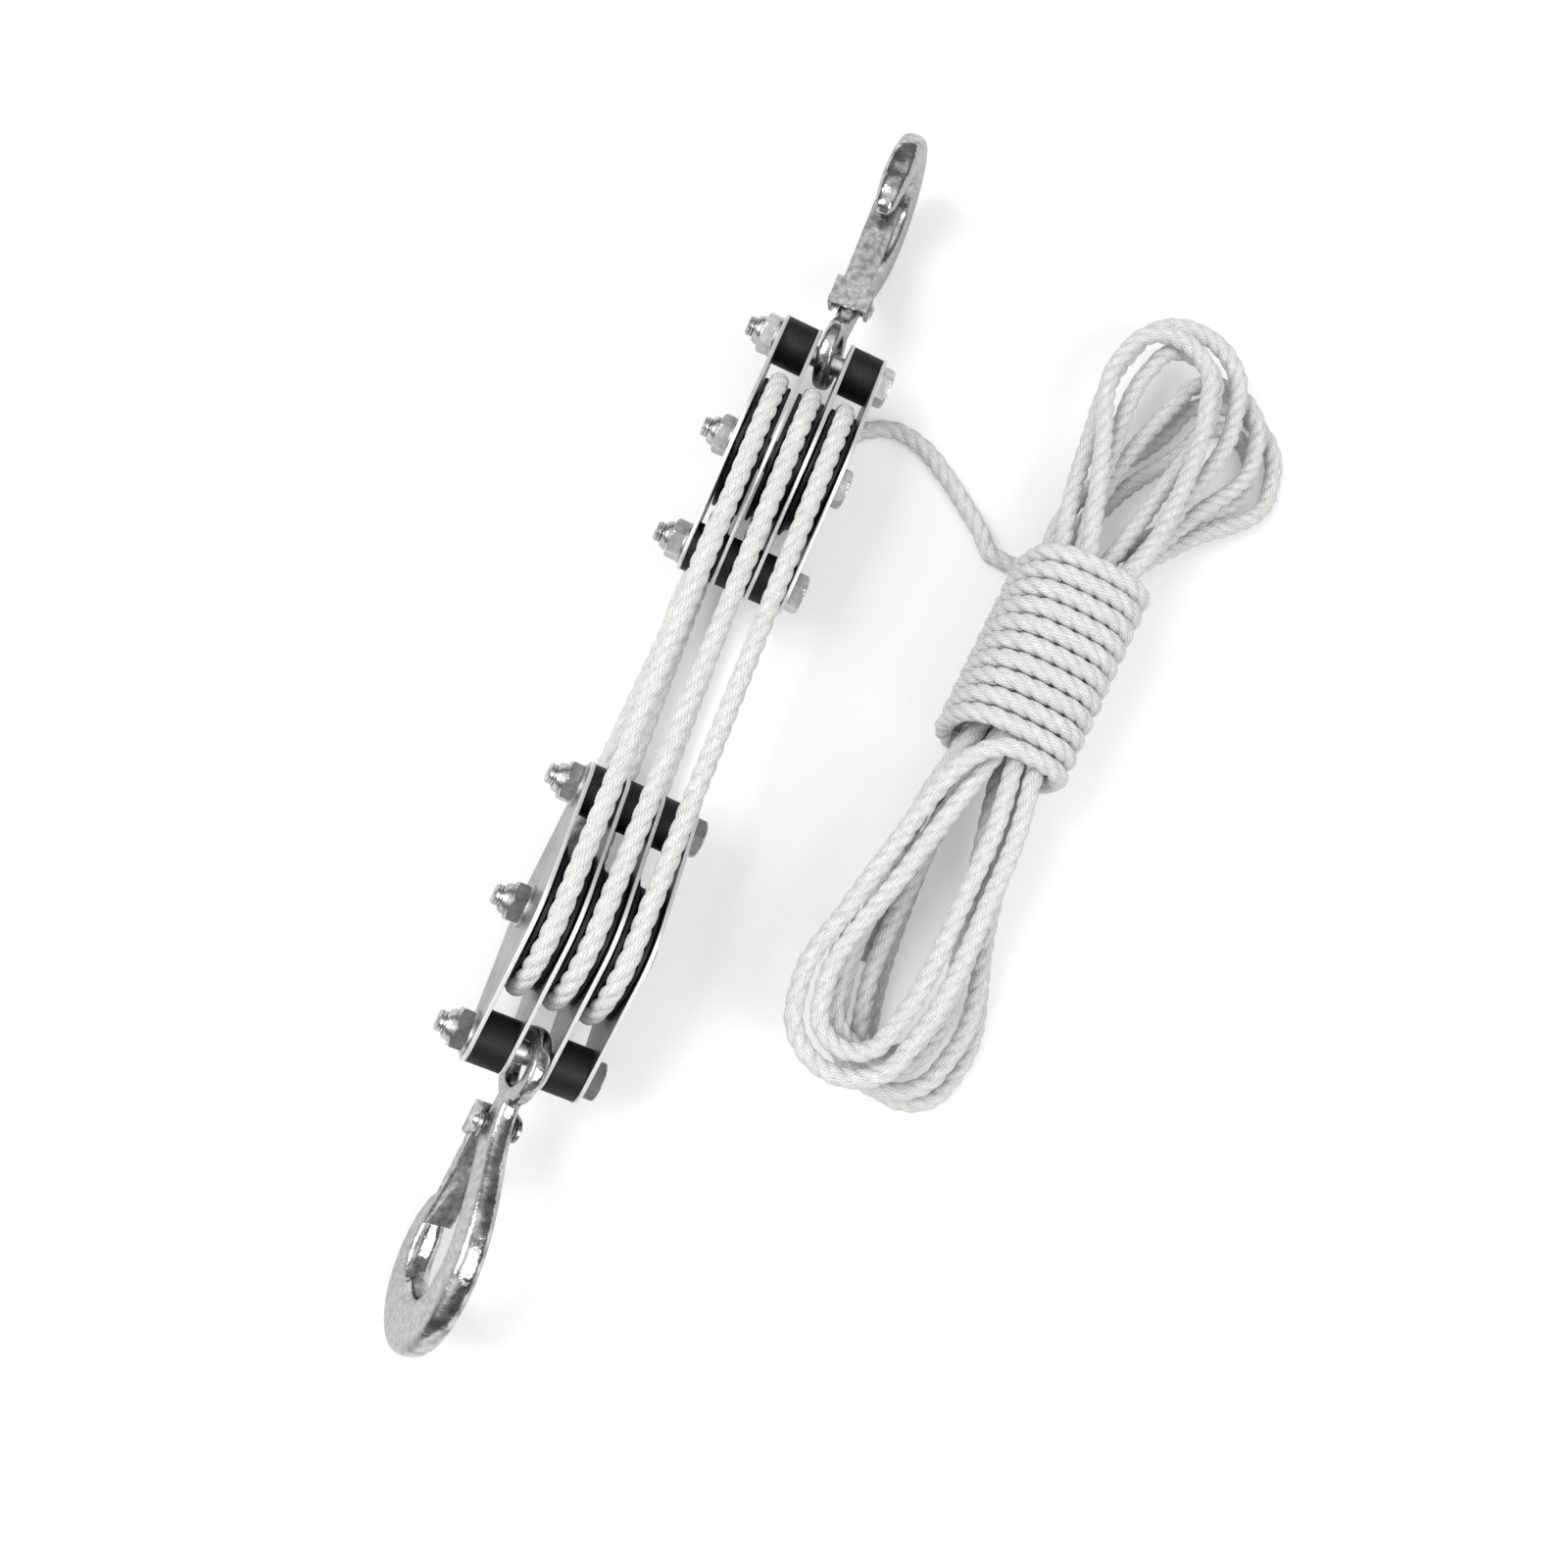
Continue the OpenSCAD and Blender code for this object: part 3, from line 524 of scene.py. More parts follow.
def rope_tube(route, frames=None, s=None, radius=ROPE_R, lobes=STRANDS, pitch=LAY_PITCH):
    """A laid rope along a route: ring k has its points at angles phi + 2 pi s / pitch, with
    the strands' outline as radii, so the strands wind as the length s grows. A normal is the
    step round the ring crossed with the strand's way along. Returns verts, faces, UVs and
    normals."""
    tangent, normal = carried_normals(route) if frames is None else frames
    binormal = np.cross(tangent, normal)
    s = lengths_along(route) if s is None else s
    outline = strand_outline(lobes)
    count = len(outline)
    angle = turn_angles(count) + 2 * np.pi * s[:, None] / pitch
    r = np.broadcast_to(np.asarray(radius, float).reshape(-1, 1), (len(route), 1)) * outline
    rings = (route[:, None] + (r * np.cos(angle))[..., None] * normal[:, None]
             + (r * np.sin(angle))[..., None] * binormal[:, None])
    around = np.roll(rings, -1, axis=1) - np.roll(rings, 1, axis=1)
    along = (tangent[:, None] + 2 * np.pi / pitch
             * np.cross(tangent[:, None], rings - route[:, None]))
    normals = unit(np.cross(around, along).reshape(-1, 3))
    u, v = np.arange(count) / count, s / pitch
    near, far = np.repeat(v[:-1], count), np.repeat(v[1:], count)
    left, right = np.tile(u, len(route) - 1), np.tile(u + 1 / count, len(route) - 1)
    quads = np.stack([left, near, right, near, right, far, left, far], 1).reshape(-1, 2)
    caps = np.stack([np.tile(u, 2), np.repeat([v[0], v[-1]], count)], 1)
    faces = tube_faces(len(route), count)
    return rings.reshape(-1, 3), faces, np.concatenate([quads, caps]), normals


def rope_piece(name, body, tubes):
    """One piece from several tubes. Its sides keep the tubes' own normals, so that the shading
    runs on from piece to piece, and its flat ends have their own."""
    verts, faces = joined([(t[0], t[1]) for t in tubes])
    piece = mesh_piece(name, body, ROPE, verts, faces, np.concatenate([t[2] for t in tubes]))
    normals = np.concatenate([t[3] for t in tubes])
    corners = [normals[k] if len(face) == 4 else (0, 0, 0) for face in faces for k in face]
    piece.data.normals_split_custom_set(np.array(corners).tolist())
    return piece


ARC_STEP = 3


def arc(place, bay, start, stop, r=ROPE_PITCH_R, y=0.0):
    """A bend of rope in a block's frame, from 0 degrees at the bottom over 90 at +Y."""
    a = np.radians(np.linspace(start, stop, int(abs(stop - start) / ARC_STEP) + 1))
    points = np.stack([np.full_like(a, bay * BAY_PITCH), y + r * np.sin(a), -r * np.cos(a)], 1)
    return placed(place, points)


# The working rope, from its fixed eye on the upper block to the tail
BAYS = {-1: "left", 0: "middle", 1: "right"}
ROPE_GAP = 0.3
EYE_R = SPACER_R + ROPE_GAP + ROPE_R
EYE_START = ((-92, -19.2), (-85, -17.2), (-79.5, -12.5), (-76.3, -6))
lower_bends = {bay: arc(LOWER, bay, 180, 0) for bay in BAYS}
upper_bends = {bay: arc(UPPER, bay, 180, 0 if bay < 1 else TAIL_ANGLE) for bay in BAYS}
eye_loop = np.concatenate([placed(UPPER, [[-BAY_PITCH, y, z] for y, z in EYE_START]),
                           arc(UPPER, -1, 270, 0, EYE_R, -BOLT_SPACING)])
dead_point = eye_loop[-1]
WORKING = [("eye", smooth_curve(eye_loop[::2], fine=6))]
previous = dead_point
for bay in BAYS:
    WORKING.append((f"back_{bay}", np.array([previous, lower_bends[bay][0]])))
    WORKING.append((f"lower_{bay}", lower_bends[bay]))
    WORKING.append((f"front_{bay}", np.array([lower_bends[bay][-1], upper_bends[bay][0]])))
    WORKING.append((f"upper_{bay}", upper_bends[bay]))
    previous = upper_bends[bay][-1]


def working_tubes():
    """The tube of each stretch of the working rope, cut from one route, so that the strands
    run on from each stretch to the next. Also the state at its end: its last normal and its
    length."""
    stretches = [resampled(points) for _, points in WORKING]
    whole = np.concatenate([stretches[0]] + [r[1:] for r in stretches[1:]])
    tangent, normal = carried_normals(whole)
    s = lengths_along(whole)
    tubes, first = {}, 0
    for (name, _), route in zip(WORKING, stretches):
        part = slice(first, first + len(route))
        tubes[name] = rope_tube(whole[part], (tangent[part], normal[part]), s[part])
        first += len(route) - 1
    return tubes, (normal[-1], s[-1])


SPLICE_SWELL, SWELL_POWER, SPLICE_STRANDS, SPLICE_PITCH = 1.6, 0.7, 6, 60


def make_working_rope():
    """The rope in the tackle: its bends ride on the blocks, and its falls are fixed pieces that
    run between them. The dead fall's solid is one of the back falls' node. Returns the rope's
    state where the tail starts."""
    tubes, end = working_tubes()
    for block in BLOCKS:
        bends = rope_piece(f"rope_{block}_bends_laid", f"{block}_block",
                           [tubes[f"{block}_{bay}"] for bay in BAYS])
        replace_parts(bends, f"rope_{block}_bends")
    splice = resampled(np.array([dead_point, dead_point + SPLICE_L
                                 * unit(lower_bends[-1][0] - dead_point)]))
    swell = np.sin(np.linspace(0, 1, len(splice)) * math.pi) ** SWELL_POWER
    knot = rope_tube(splice, radius=ROPE_R + SPLICE_SWELL * swell, lobes=SPLICE_STRANDS,
                     pitch=SPLICE_PITCH)
    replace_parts(rope_piece("rope_dead_end_laid", "upper_block", [tubes["eye"], knot]),
                "rope_dead_end")
    for name, keys, top in (("front_falls", [f"front_{bay}" for bay in BAYS], UPPER[0]),
                            ("back_falls", ["back_0", "back_1"], UPPER[0]),
                            ("dead_fall", ["back_-1"], splice[-1])):
        fall = rope_piece(f"rope_{name}_laid", None, [tubes[k] for k in keys])
        if f"rope_{name}" in frame["nodes"]:
            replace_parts(fall, f"rope_{name}")
        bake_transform(fall)
    return end


# The free rope: tail, wrap and hank, along the part's own route
TAIL_POINTS = [(23, 153, 17), (25, 157, 10), (31, 165, 6), (39, 173, 4.8), (51, 179, 4.8),
               (66, 178, 4.8), (84, 169, 4.8), (101, 157, 4.8), (115, 146, 4.8)]
HANK_X, HANK_Y, HANK_LEAN = 160.0, 82.0, 5.0
WRAP_HALF, WRAP_CORNER_R, WRAP_PITCH, WRAP_TURNS = 28.4, 19.0, 10.0, 10
ENTRY_W, ENTRY_S = -34.0, 53.5
SLOT_STEP, LAYER_STEP, FAN_STEP, WAIST_HALF = 10.6, 10.2, 10.9, 55.0
WAIST_Z = WRAP_HALF + ROPE_R
JOIN_POINTS = [(-6, -54.5, 61.5), (-13, -59.5, 59.5), (-18, -67, 56), (-21.5, -76, 51.5),
               (-23.5, -86, 48)]
TOP_SPLAY, TOP_REACH = (48, 28, 6, -13), (200, 208, 214, 203)
BOTTOM_SPLAY, BOTTOM_REACH = (25, 16, -3, -9), (-224, -218, -212, -222)
TOP_HALF, BOTTOM_HALF = (33, 19), (30, 18)
SPLAY_START, WIDENING_POWER = 0.4, 2.2
RUNS = [(-1.5, 3, 3), (1.5, 3, 3), (-0.5, 3, 3), (0.5, 3, 2), (-0.5, 2, 2), (1.5, 2, 2),
        (-1.5, 1, 2), (1.5, 1, 1), (-0.5, 1, 1), (0.5, 1, 0), (-0.5, 0, 0), (1.5, 0, 0),
        (-1.5, 0, 0)]


def in_hank(w, s, z):
    """w runs across the hank, s along it and z up."""
    lean = math.radians(HANK_LEAN)
    return np.array([HANK_X + s * math.sin(lean) + w * math.cos(lean),
                     HANK_Y + s * math.cos(lean) - w * math.sin(lean), z])


CORNER_STEPS = 5
OUTWARD, FIRST_RUN, LAST_RUN = (0, 0.18, 0.5, 1), (0.4, 0.7, 1), (0, 0.18, 0.5, 0.8)
JOIN_STEP = 0.3


def wrap_points():
    """A helix of rounded squares round the hank's waist."""
    flat = WRAP_HALF - WRAP_CORNER_R
    corner_l = WRAP_CORNER_R * math.pi / 2
    side_l = corner_l + 2 * flat
    start = (WRAP_TURNS + 0.5) * WRAP_PITCH / 2
    points = [in_hank(ENTRY_W, ENTRY_S, ROPE_R), in_hank(ENTRY_W + 2 * ROPE_R, ENTRY_S, ROPE_R),
              in_hank(0, start, ROPE_R)]
    for corner in range(4 * WRAP_TURNS + 2):
        quarter = corner % 4
        cw = flat if quarter < 2 else -flat
        cz = flat if quarter in (1, 2) else -flat
        for k in range(CORNER_STEPS + 1):
            a = math.radians(90 * (quarter - 1) + 90 / CORNER_STEPS * k)
            run = corner * side_l + flat + corner_l * k / CORNER_STEPS
            points.append(in_hank(cw + WRAP_CORNER_R * math.cos(a),
                                  start - WRAP_PITCH * run / (4 * side_l),
                                  WAIST_Z + cz + WRAP_CORNER_R * math.sin(a)))
    return points + [in_hank(*p) for p in JOIN_POINTS]


def run_point(slot, layer, end, t):
    """A point on a run of the hank, t of the way from the waist to its fold. It widens as
    1 - (1 - t)^p, and splays and sinks at an even rate after a soft start."""
    half = (TOP_HALF if end > 0 else BOTTOM_HALF)[0 if abs(slot) > 1 else 1]
    reach, splay = (TOP_REACH, TOP_SPLAY) if end > 0 else (BOTTOM_REACH, BOTTOM_SPLAY)
    outer = (TOP_HALF if end > 0 else BOTTOM_HALF)[0]
    out = abs(reach[layer]) - outer - WAIST_HALF
    sinking = min(abs(r) for r in reach) - outer - WAIST_HALF

    def splaying(x):
        """From 0 to 1 at an even rate, after a soft start."""
        rise = x * x / (2 * SPLAY_START) if x < SPLAY_START else x - SPLAY_START / 2
        return rise / (1 - SPLAY_START / 2)

    waist_w = slot * SLOT_STEP
    wide = math.copysign(half, slot) - waist_w
    waist_z = WAIST_Z + (layer - 1.5) * LAYER_STEP
    return np.array([
        waist_w + wide * (1 - (1 - t) ** WIDENING_POWER) + splay[layer] * splaying(t),
        end * (WAIST_HALF + out * t),
        waist_z - (waist_z - ROPE_R - layer * FAN_STEP) * splaying(min(1, t * out / sinking))])


FOLD_POINTS = 4


def fold(a, b, end):
    """A half circle from one run's end to the next one's start."""
    turn = np.pi * np.arange(1, FOLD_POINTS + 1) / (FOLD_POINTS + 1)
    mid, r = (a + b) / 2, (a[0] - b[0]) / 2
    return [np.array([mid[0] + r * math.cos(x), mid[1] + end * abs(r) * math.sin(x), mid[2]])
            for x in turn]


def hank_points():
    """The hank's runs one after another, each up or down, with a fold between them. The first
    starts below the waist, and the last ends short of its fold."""
    points = [np.array(JOIN_POINTS[-1]) - (0, JOIN_STEP, 0)]
    last = len(RUNS) - 1
    for j, (slot, low, high) in enumerate(RUNS):
        up = j % 2 == 1
        coming, going = ((low, -1), (high, 1)) if up else ((high, 1), (low, -1))
        inward = () if j == 0 else OUTWARD[::-1]
        outward_t = FIRST_RUN if j == 0 else LAST_RUN if j == last else OUTWARD
        points += [run_point(slot, *coming, t) for t in inward]
        points += [run_point(slot, *going, t) for t in outward_t]
        if j < last:
            points += fold(points[-1], run_point(RUNS[j + 1][0], *going, 1), going[1])
    return [in_hank(*p) for p in points]


def make_free_rope(seed, start):
    """The tail, wrap and hank in one, from the working rope's last normal and length."""
    tail_start = upper_bends[1][-1]
    a = math.radians(TAIL_ANGLE)
    way = np.array([0, -math.cos(a), -math.sin(a)])
    tail = [tail_start] + [np.array(p, float) for p in TAIL_POINTS]
    tail.append(in_hank(ENTRY_W - 2 * ROPE_R, ENTRY_S, ROPE_R))
    points = tail + wrap_points() + hank_points()[1:]
    route = resampled(smooth_curve(points, fine=8, start=way))
    route[:, 2] = np.maximum(route[:, 2], ROPE_R)
    tube = rope_tube(route, carried_normals(route, seed), start + lengths_along(route))
    piece = rope_piece("free_rope_laid", "upper_block", [tube])
    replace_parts(piece, "rope_tail", "rope_wrap", "rope_hank")


make_free_rope(*make_working_rope())


# Plates, bolts and sheaves

PLATE_SIDES = 96
PLATE_FLAT_SHARE = 0.65
PLATE_EDGE = ((2.0, 0), (0.5, 0), (0.15, 0.14), (0, 0.45))
PLATE_RIM = (0, 0, 0.3, 1, 1, 1, 1, 0.3, 0, 0)
PLATES = {"outer_plate_left": -1.5, "inner_plate_left": -0.5, "inner_plate_right": 0.5,
          "outer_plate_right": 1.5}


def plate_outline():
    """A circle of the middle radius and two of the end radius, joined by their tangents. It
    runs anticlockwise."""
    slope = math.asin((PLATE_MID_R - PLATE_END_R) / BOLT_SPACING)
    end = np.linspace(slope, np.pi - slope, PLATE_SIDES // 4)
    tip = np.stack([BOLT_SPACING + PLATE_END_R * np.sin(end), PLATE_END_R * np.cos(end)], 1)
    middle = np.linspace(-slope, slope, PLATE_SIDES // 4)
    belly = np.stack([PLATE_MID_R * np.sin(middle), -PLATE_MID_R * np.cos(middle)], 1)
    half = np.concatenate([tip, belly[::-1]])
    return np.concatenate([half, -half])[::-1]


def inset(outline, by):
    """An anticlockwise outline moved inwards along its normals."""
    along = unit(np.roll(outline, -1, axis=0) - np.roll(outline, 1, axis=0))
    return outline + by * np.stack([-along[:, 1], along[:, 0]], 1)


def plate_surface(x):
    """A sheet with rolled edges about x. Each half is rings of the outline, from a smaller one
    in the face to the edge, moved in and down as PLATE_EDGE says."""
    outline = plate_outline()
    rings = [(outline * PLATE_FLAT_SHARE, 0)]
    rings += [(inset(outline, by), down) for by, down in PLATE_EDGE]
    half = [np.column_stack([np.full(PLATE_SIDES, down - PLATE_T / 2), ring])
            for ring, down in rings]
    grid = np.concatenate(half + [ring * (-1, 1, 1) for ring in half[::-1]])
    return grid + (x, 0, 0), tube_faces(2 * len(half), PLATE_SIDES)


def shifted(surface, by):
    """A surface moved by a step."""
    return surface[0] + np.asarray(by, float), surface[1]


def outward(piece):
    """Turns every closed shell of a mesh so that its faces point out."""
    mesh = bmesh.new()
    mesh.from_mesh(piece.data)
    bmesh.ops.recalc_face_normals(mesh, faces=mesh.faces)
    mesh.to_mesh(piece.data)
    mesh.free()


def by_angle(piece, sharp):
    """Smooth shading that keeps edges sharper than an angle in degrees."""
    with bpy.context.temp_override(object=piece, active_object=piece,
                                   selected_objects=[piece], selected_editable_objects=[piece]):
        bpy.ops.object.shade_smooth_by_angle(angle=math.radians(sharp))


def block_piece(block, name, suffix, made_of, surfaces, sharp, body=None):
    """The piece that stands for a block's node, from surfaces in the block's frame."""
    node = f"{block}_{name}"
    verts, faces = joined(surfaces)
    piece = mesh_piece(f"{node}_{suffix}", body or f"{block}_block", made_of,
                       placed(BLOCKS[block], verts), faces)
    outward(piece)
    by_angle(piece, sharp)
    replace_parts(piece, node)
    return piece


def make_plates(block):
    """Four cheek plates, whose rim attribute is 1 along the edge, where the zinc paints a
    highlight.
    """
    for name, bays in PLATES.items():
        plate = block_piece(block, name, "pressed", ZINC_PLATE,
                            [plate_surface(bays * BAY_PITCH)], sharp=50)
        rim = plate.data.attributes.new("rim", "FLOAT", "POINT")
        rim.data.foreach_set("value", np.repeat(PLATE_RIM, PLATE_SIDES))


HEX_FLATS, HEAD_H, NUT_H, COLLAR_H, COLLAR_R, BOLT_R = 17.0, 6.4, 6.5, 3.5, 7.0, 5.0
WASHER_R, WASHER_T, BOLT_OUT = 10.0, 1.6, 4.0
NUT_X = CHEEK_X + WASHER_T
COLLAR_X = NUT_X + NUT_H
THREAD_X = COLLAR_X + COLLAR_H + BOLT_OUT
BORE_R, WASHER_BORE_R, COLLAR_SUNK, COLLAR_TAPER, COLLAR_SHARE = 5.1, 5.2, 0.5, 1.0, 0.45
HEX_POINTS = 144
HEX_SHARES = (0, 0.25, 0.5, 0.7, 0.8, 0.88, 0.94, 0.985, 1.0, 1.0)
HEX_CONE_R, HEX_CONE_SLOPE, HEX_RIM_R, HEX_FACE_R, HEX_FOOT_IN = 8.26, 1.5, 8.075, 7.65, 0.25
SEAT_R, SEAT_T = 8.2, 0.6
THREAD_DEPTH, THREAD_LEAD, THREAD_R, TIP_R = 0.55, 1.5, 4.95, 3.9
THREAD_POINTS, THREAD_RINGS = 48, 64


def hexagon_surface(x0, height, away):
    """A hexagon with turned corners. At angle a its flat is at f / cos(a) from the axis, and a
    cone that falls towards the far face cuts the corners, so the radius is the lesser."""
    sixth = np.pi / 3
    a = (turn_angles(HEX_POINTS) + sixth / 2) % sixth - sixth / 2
    h = np.array(HEX_SHARES) * height
    cone = HEX_CONE_R + (height - h) * HEX_CONE_SLOPE
    r = np.minimum(HEX_FLATS / 2 / np.cos(a), cone[:, None])
    r[-2] = np.minimum(r[-2], HEX_RIM_R)
    r[-1] = HEX_FACE_R
    r[0] -= HEX_FOOT_IN
    grid = around_x(x0 + away * h, r, HEX_POINTS)
    return grid.reshape(-1, 3), tube_faces(len(h), HEX_POINTS)


def thread_surface(x0, x1):
    """A bolt's threaded end: the radius falls by the thread's depth once each lead, at a place
    that moves one lead along for each turn, and fades into a bevel at the tip."""
    x = np.linspace(x0, x1, THREAD_RINGS)[:, None]
    phase = (x / THREAD_LEAD + turn_angles(THREAD_POINTS) / (2 * np.pi)) % 1.0
    r = THREAD_R - THREAD_DEPTH * (1 - np.abs(phase - 0.5) * 2)
    r = np.minimum(r, TIP_R + np.abs(x - x0))
    grid = around_x(x[:, 0], r, THREAD_POINTS)
    return grid.reshape(-1, 3), tube_faces(THREAD_RINGS, THREAD_POINTS)


def at_bolts(*surfaces):
    """Surfaces, each at all three of a block's bolts."""
    return [shifted(surface, (0, end * BOLT_SPACING, 0)) for surface in surfaces
            for end in (-1, 0, 1)]


def make_bolts(block):
    """Hexagon heads on turned seats, plain shanks and threaded ends."""
    seat = rounded([(CHEEK_X, 0), (CHEEK_X, SEAT_R), (CHEEK_X + SEAT_T, SEAT_R),
                    (CHEEK_X + SEAT_T, 0)], radius=0.2)
    shank = turned([(-NUT_X, BOLT_R), (CHEEK_X, BOLT_R)], count=64)
    bolts = at_bolts(hexagon_surface(CHEEK_X, HEAD_H, 1), turned(seat), shank,
                     thread_surface(-THREAD_X, -NUT_X))
    block_piece(block, "bolts", "threaded", ZINC_BOLT, bolts, sharp=28)


def make_nuts(block):
    """Hexagons with a round locking collar, whose end is tapered."""
    near, far = COLLAR_SUNK - COLLAR_X, -COLLAR_X - COLLAR_H
    collar = rounded([(near, BORE_R), (near, COLLAR_R),
                      (-COLLAR_X - COLLAR_H * COLLAR_SHARE, COLLAR_R),
                      (far, COLLAR_R - COLLAR_TAPER), (far, BORE_R), (near, BORE_R)],
                     radius=0.5)
    nuts = at_bolts(hexagon_surface(-NUT_X, NUT_H, -1), turned(collar))
    block_piece(block, "nuts", "turned", ZINC_BOLT, nuts, sharp=28)


def make_washers(block):
    """Stamped washers under the nuts."""
    washer = rounded([(-NUT_X, WASHER_BORE_R), (-NUT_X, WASHER_R), (-CHEEK_X, WASHER_R),
                      (-CHEEK_X, WASHER_BORE_R), (-NUT_X, WASHER_BORE_R)], radius=0.3)
    block_piece(block, "washers", "stamped", ZINC_BOLT, at_bolts(turned(washer)), sharp=40)


SEAM_HALF, SEAM_H = 0.25, 0.12


def make_spacers(block):
    """Moulded spacers with a fine seam round the middle."""
    half = BAY_W / 2
    profile = rounded([(-half, BORE_R), (-half, SPACER_R), (-SEAM_HALF, SPACER_R),
                       (0, SPACER_R + SEAM_H), (SEAM_HALF, SPACER_R), (half, SPACER_R),
                       (half, BORE_R), (-half, BORE_R)], radius=0.4)
    for name, bays, end in (("hook_end_spacers", (-1, 1), 1), ("rope_end_spacers", BAYS, -1)):
        spacers = [shifted(turned(profile), (bay * BAY_PITCH, end * BOLT_SPACING, 0))
                   for bay in bays]
        block_piece(block, name, "moulded", SPACER_PLASTIC, spacers, sharp=40)


SHEAVE_W, FLANGE_R, HUB_R, DISH_R, DISH_DEPTH, SHEAVE_BORE = 13.5, 32.5, 13.0, 24.5, 2.0, 8.06
DISH_SLOPE, FLANGE_BEVEL, FLANGE_FALL, GROOVE_REACH = 1.2, 0.8, 0.3, 86


def make_sheave(block, bay, side):
    """A revolved wheel: hub, dished web, rim and a groove that is an arc about the rope."""
    half = SHEAVE_W / 2
    groove_r = ROPE_R + ROPE_GAP
    a = np.radians(np.linspace(-GROOVE_REACH, GROOVE_REACH, 25))
    groove = np.stack([groove_r * np.sin(a), ROPE_PITCH_R - groove_r * np.cos(a)], 1)
    left = rounded([(-half, SHEAVE_BORE), (-half, HUB_R),
                    (-half + DISH_DEPTH, HUB_R + DISH_SLOPE),
                    (-half + DISH_DEPTH, DISH_R - DISH_SLOPE), (-half, DISH_R),
                    (-half, FLANGE_R - FLANGE_FALL), (-half + FLANGE_BEVEL, FLANGE_R)],
                   radius=0.6)
    profile = np.concatenate([left, groove, (left * (-1, 1))[::-1], left[:1]])
    wheel = shifted(turned(profile, count=128), (bay * BAY_PITCH, 0, 0))
    block_piece(block, f"sheave_{side}", "moulded", SHEAVE_NYLON, [wheel], sharp=40,
                body=f"{block}_sheave_{side}")


for block in BLOCKS:
    make_plates(block)
    make_bolts(block)
    make_nuts(block)
    make_washers(block)
    make_spacers(block)
    for bay, side in BAYS.items():
        make_sheave(block, bay, side)


# Hooks and latches

BOWL_U, BOWL_R, BACK_DEPTH, BOTTOM_DEPTH, TIP_DEPTH, HOOK_T = 93.0, 17.0, 18.0, 24.0, 13.5, 14.0
SADDLE_CUT, EYE_IN, EYE_BAND, EYE_T, EYE_U, EYE_EDGE = 1.0, 10.0, 7.5, 8.0, 4.7, 2.8
PIN_U, PIN_V, LATCH_LEAN = 33.0, 2.0, 6.6
BACK_V = BOWL_R + BACK_DEPTH / 2
BOWL_STEP, SECTION_POWER, SECTION_POINTS = 18, 3.2, 40
SHANK_SHARES = ((0.18, 0, 0.67, 0.64), (0.26, 0, 0.72, 0.7), (0.36, 0.04, 0.89, 0.75),
                (0.47, 0.25, 0.86, 0.8), (0.6, 0.55, 0.89, 0.86), (0.74, 0.81, 0.95, 0.92),
                (0.88, 0.96, 0.98, 0.97))
TIP_SHARES = ((0.3, 0.95, 0.9), (0.65, 0.81, 0.8), (0.94, 0.66, 0.7), (1.03, 0.4, 0.45))


def hook_place(block):
    """The hook's own frame: X through its thickness, Y from the bolt to the bowl."""
    bolt = np.array(JOINTS[f"{block}_hook_swing"]["pos_m"]) / MM
    pin = JOINTS[f"{block}_latch_open"]
    x = unit(pin["axis"])
    d = unit(np.array(pin["pos_m"]) / MM - bolt)
    lean = math.atan2(PIN_V, PIN_U)
    y = d * math.cos(lean) - np.cross(x, d) * math.sin(lean)
    return bolt, np.column_stack([x, y, np.cross(x, y)])


def hook_stations():
    """Middle point, depth and thickness of each section from the eye to the tip."""
    rows = [(a * BOWL_U, -b * BACK_V, c * BACK_DEPTH, d * HOOK_T) for a, b, c, d in SHANK_SHARES]
    for a in range(0, 181, BOWL_STEP):
        side = BACK_DEPTH + (TIP_DEPTH - BACK_DEPTH) * a / 180
        turn = math.radians(a)
        depth = side + (BOTTOM_DEPTH - side) * math.sin(turn) ** 2
        r = BOWL_R - SADDLE_CUT + depth / 2
        rows.append((BOWL_U + r * math.sin(turn), -r * math.cos(turn), depth, HOOK_T))
    rows += [(BOWL_U - a * BOWL_R, BOWL_R + TIP_DEPTH * b / 2, TIP_DEPTH * b, c * HOOK_T)
             for a, b, c in TIP_SHARES]
    return np.array(rows)


def forging_surface():
    """The hook's body: a squarish section |x|^p + |y|^p = 1 carried along a smooth middle
    line, its depth and thickness eased between stations."""
    stations = hook_stations()
    line = smooth_curve(np.column_stack([stations[:, :2], np.zeros(len(stations))]), fine=6)
    t = np.linspace(0, 1, len(line)) * (len(stations) - 1)
    depth, thick = (np.interp(t, np.arange(len(stations)), stations[:, k]) for k in (2, 3))
    along = unit(np.gradient(line[:, :2], axis=0))
    a = turn_angles(SECTION_POINTS)

    def squarish(c):
        """A sine or cosine, pushed out for a squarish section."""
        return np.sign(c) * np.abs(c) ** (2 / SECTION_POWER)

    across = squarish(np.cos(a))[None] * depth[:, None] / 2
    x = squarish(np.sin(a))[None] * thick[:, None] / 2
    u = line[:, :1] - along[:, 1:] * across
    v = line[:, 1:2] + along[:, :1] * across
    return np.stack([x, u, v], -1).reshape(-1, 3), tube_faces(len(line), SECTION_POINTS)


def eye_surface():
    """The eye: a ring about X whose section is a rectangle with wide round corners."""
    inner, outer, half = EYE_IN, EYE_IN + EYE_BAND, EYE_T / 2
    section = rounded([(0, inner), (-half, inner), (-half, outer), (half, outer), (half, inner),
                       (0, inner)], EYE_EDGE, steps=6)
    verts, faces = turned(section)
    return verts + (0, EYE_U, 0), faces


SKIN_VOXEL, SKIN_EASE, SKIN_ROUNDS = 0.8, 0.5, 6
FLAT_FROM, FLAT_OVER = 0.55, 0.4


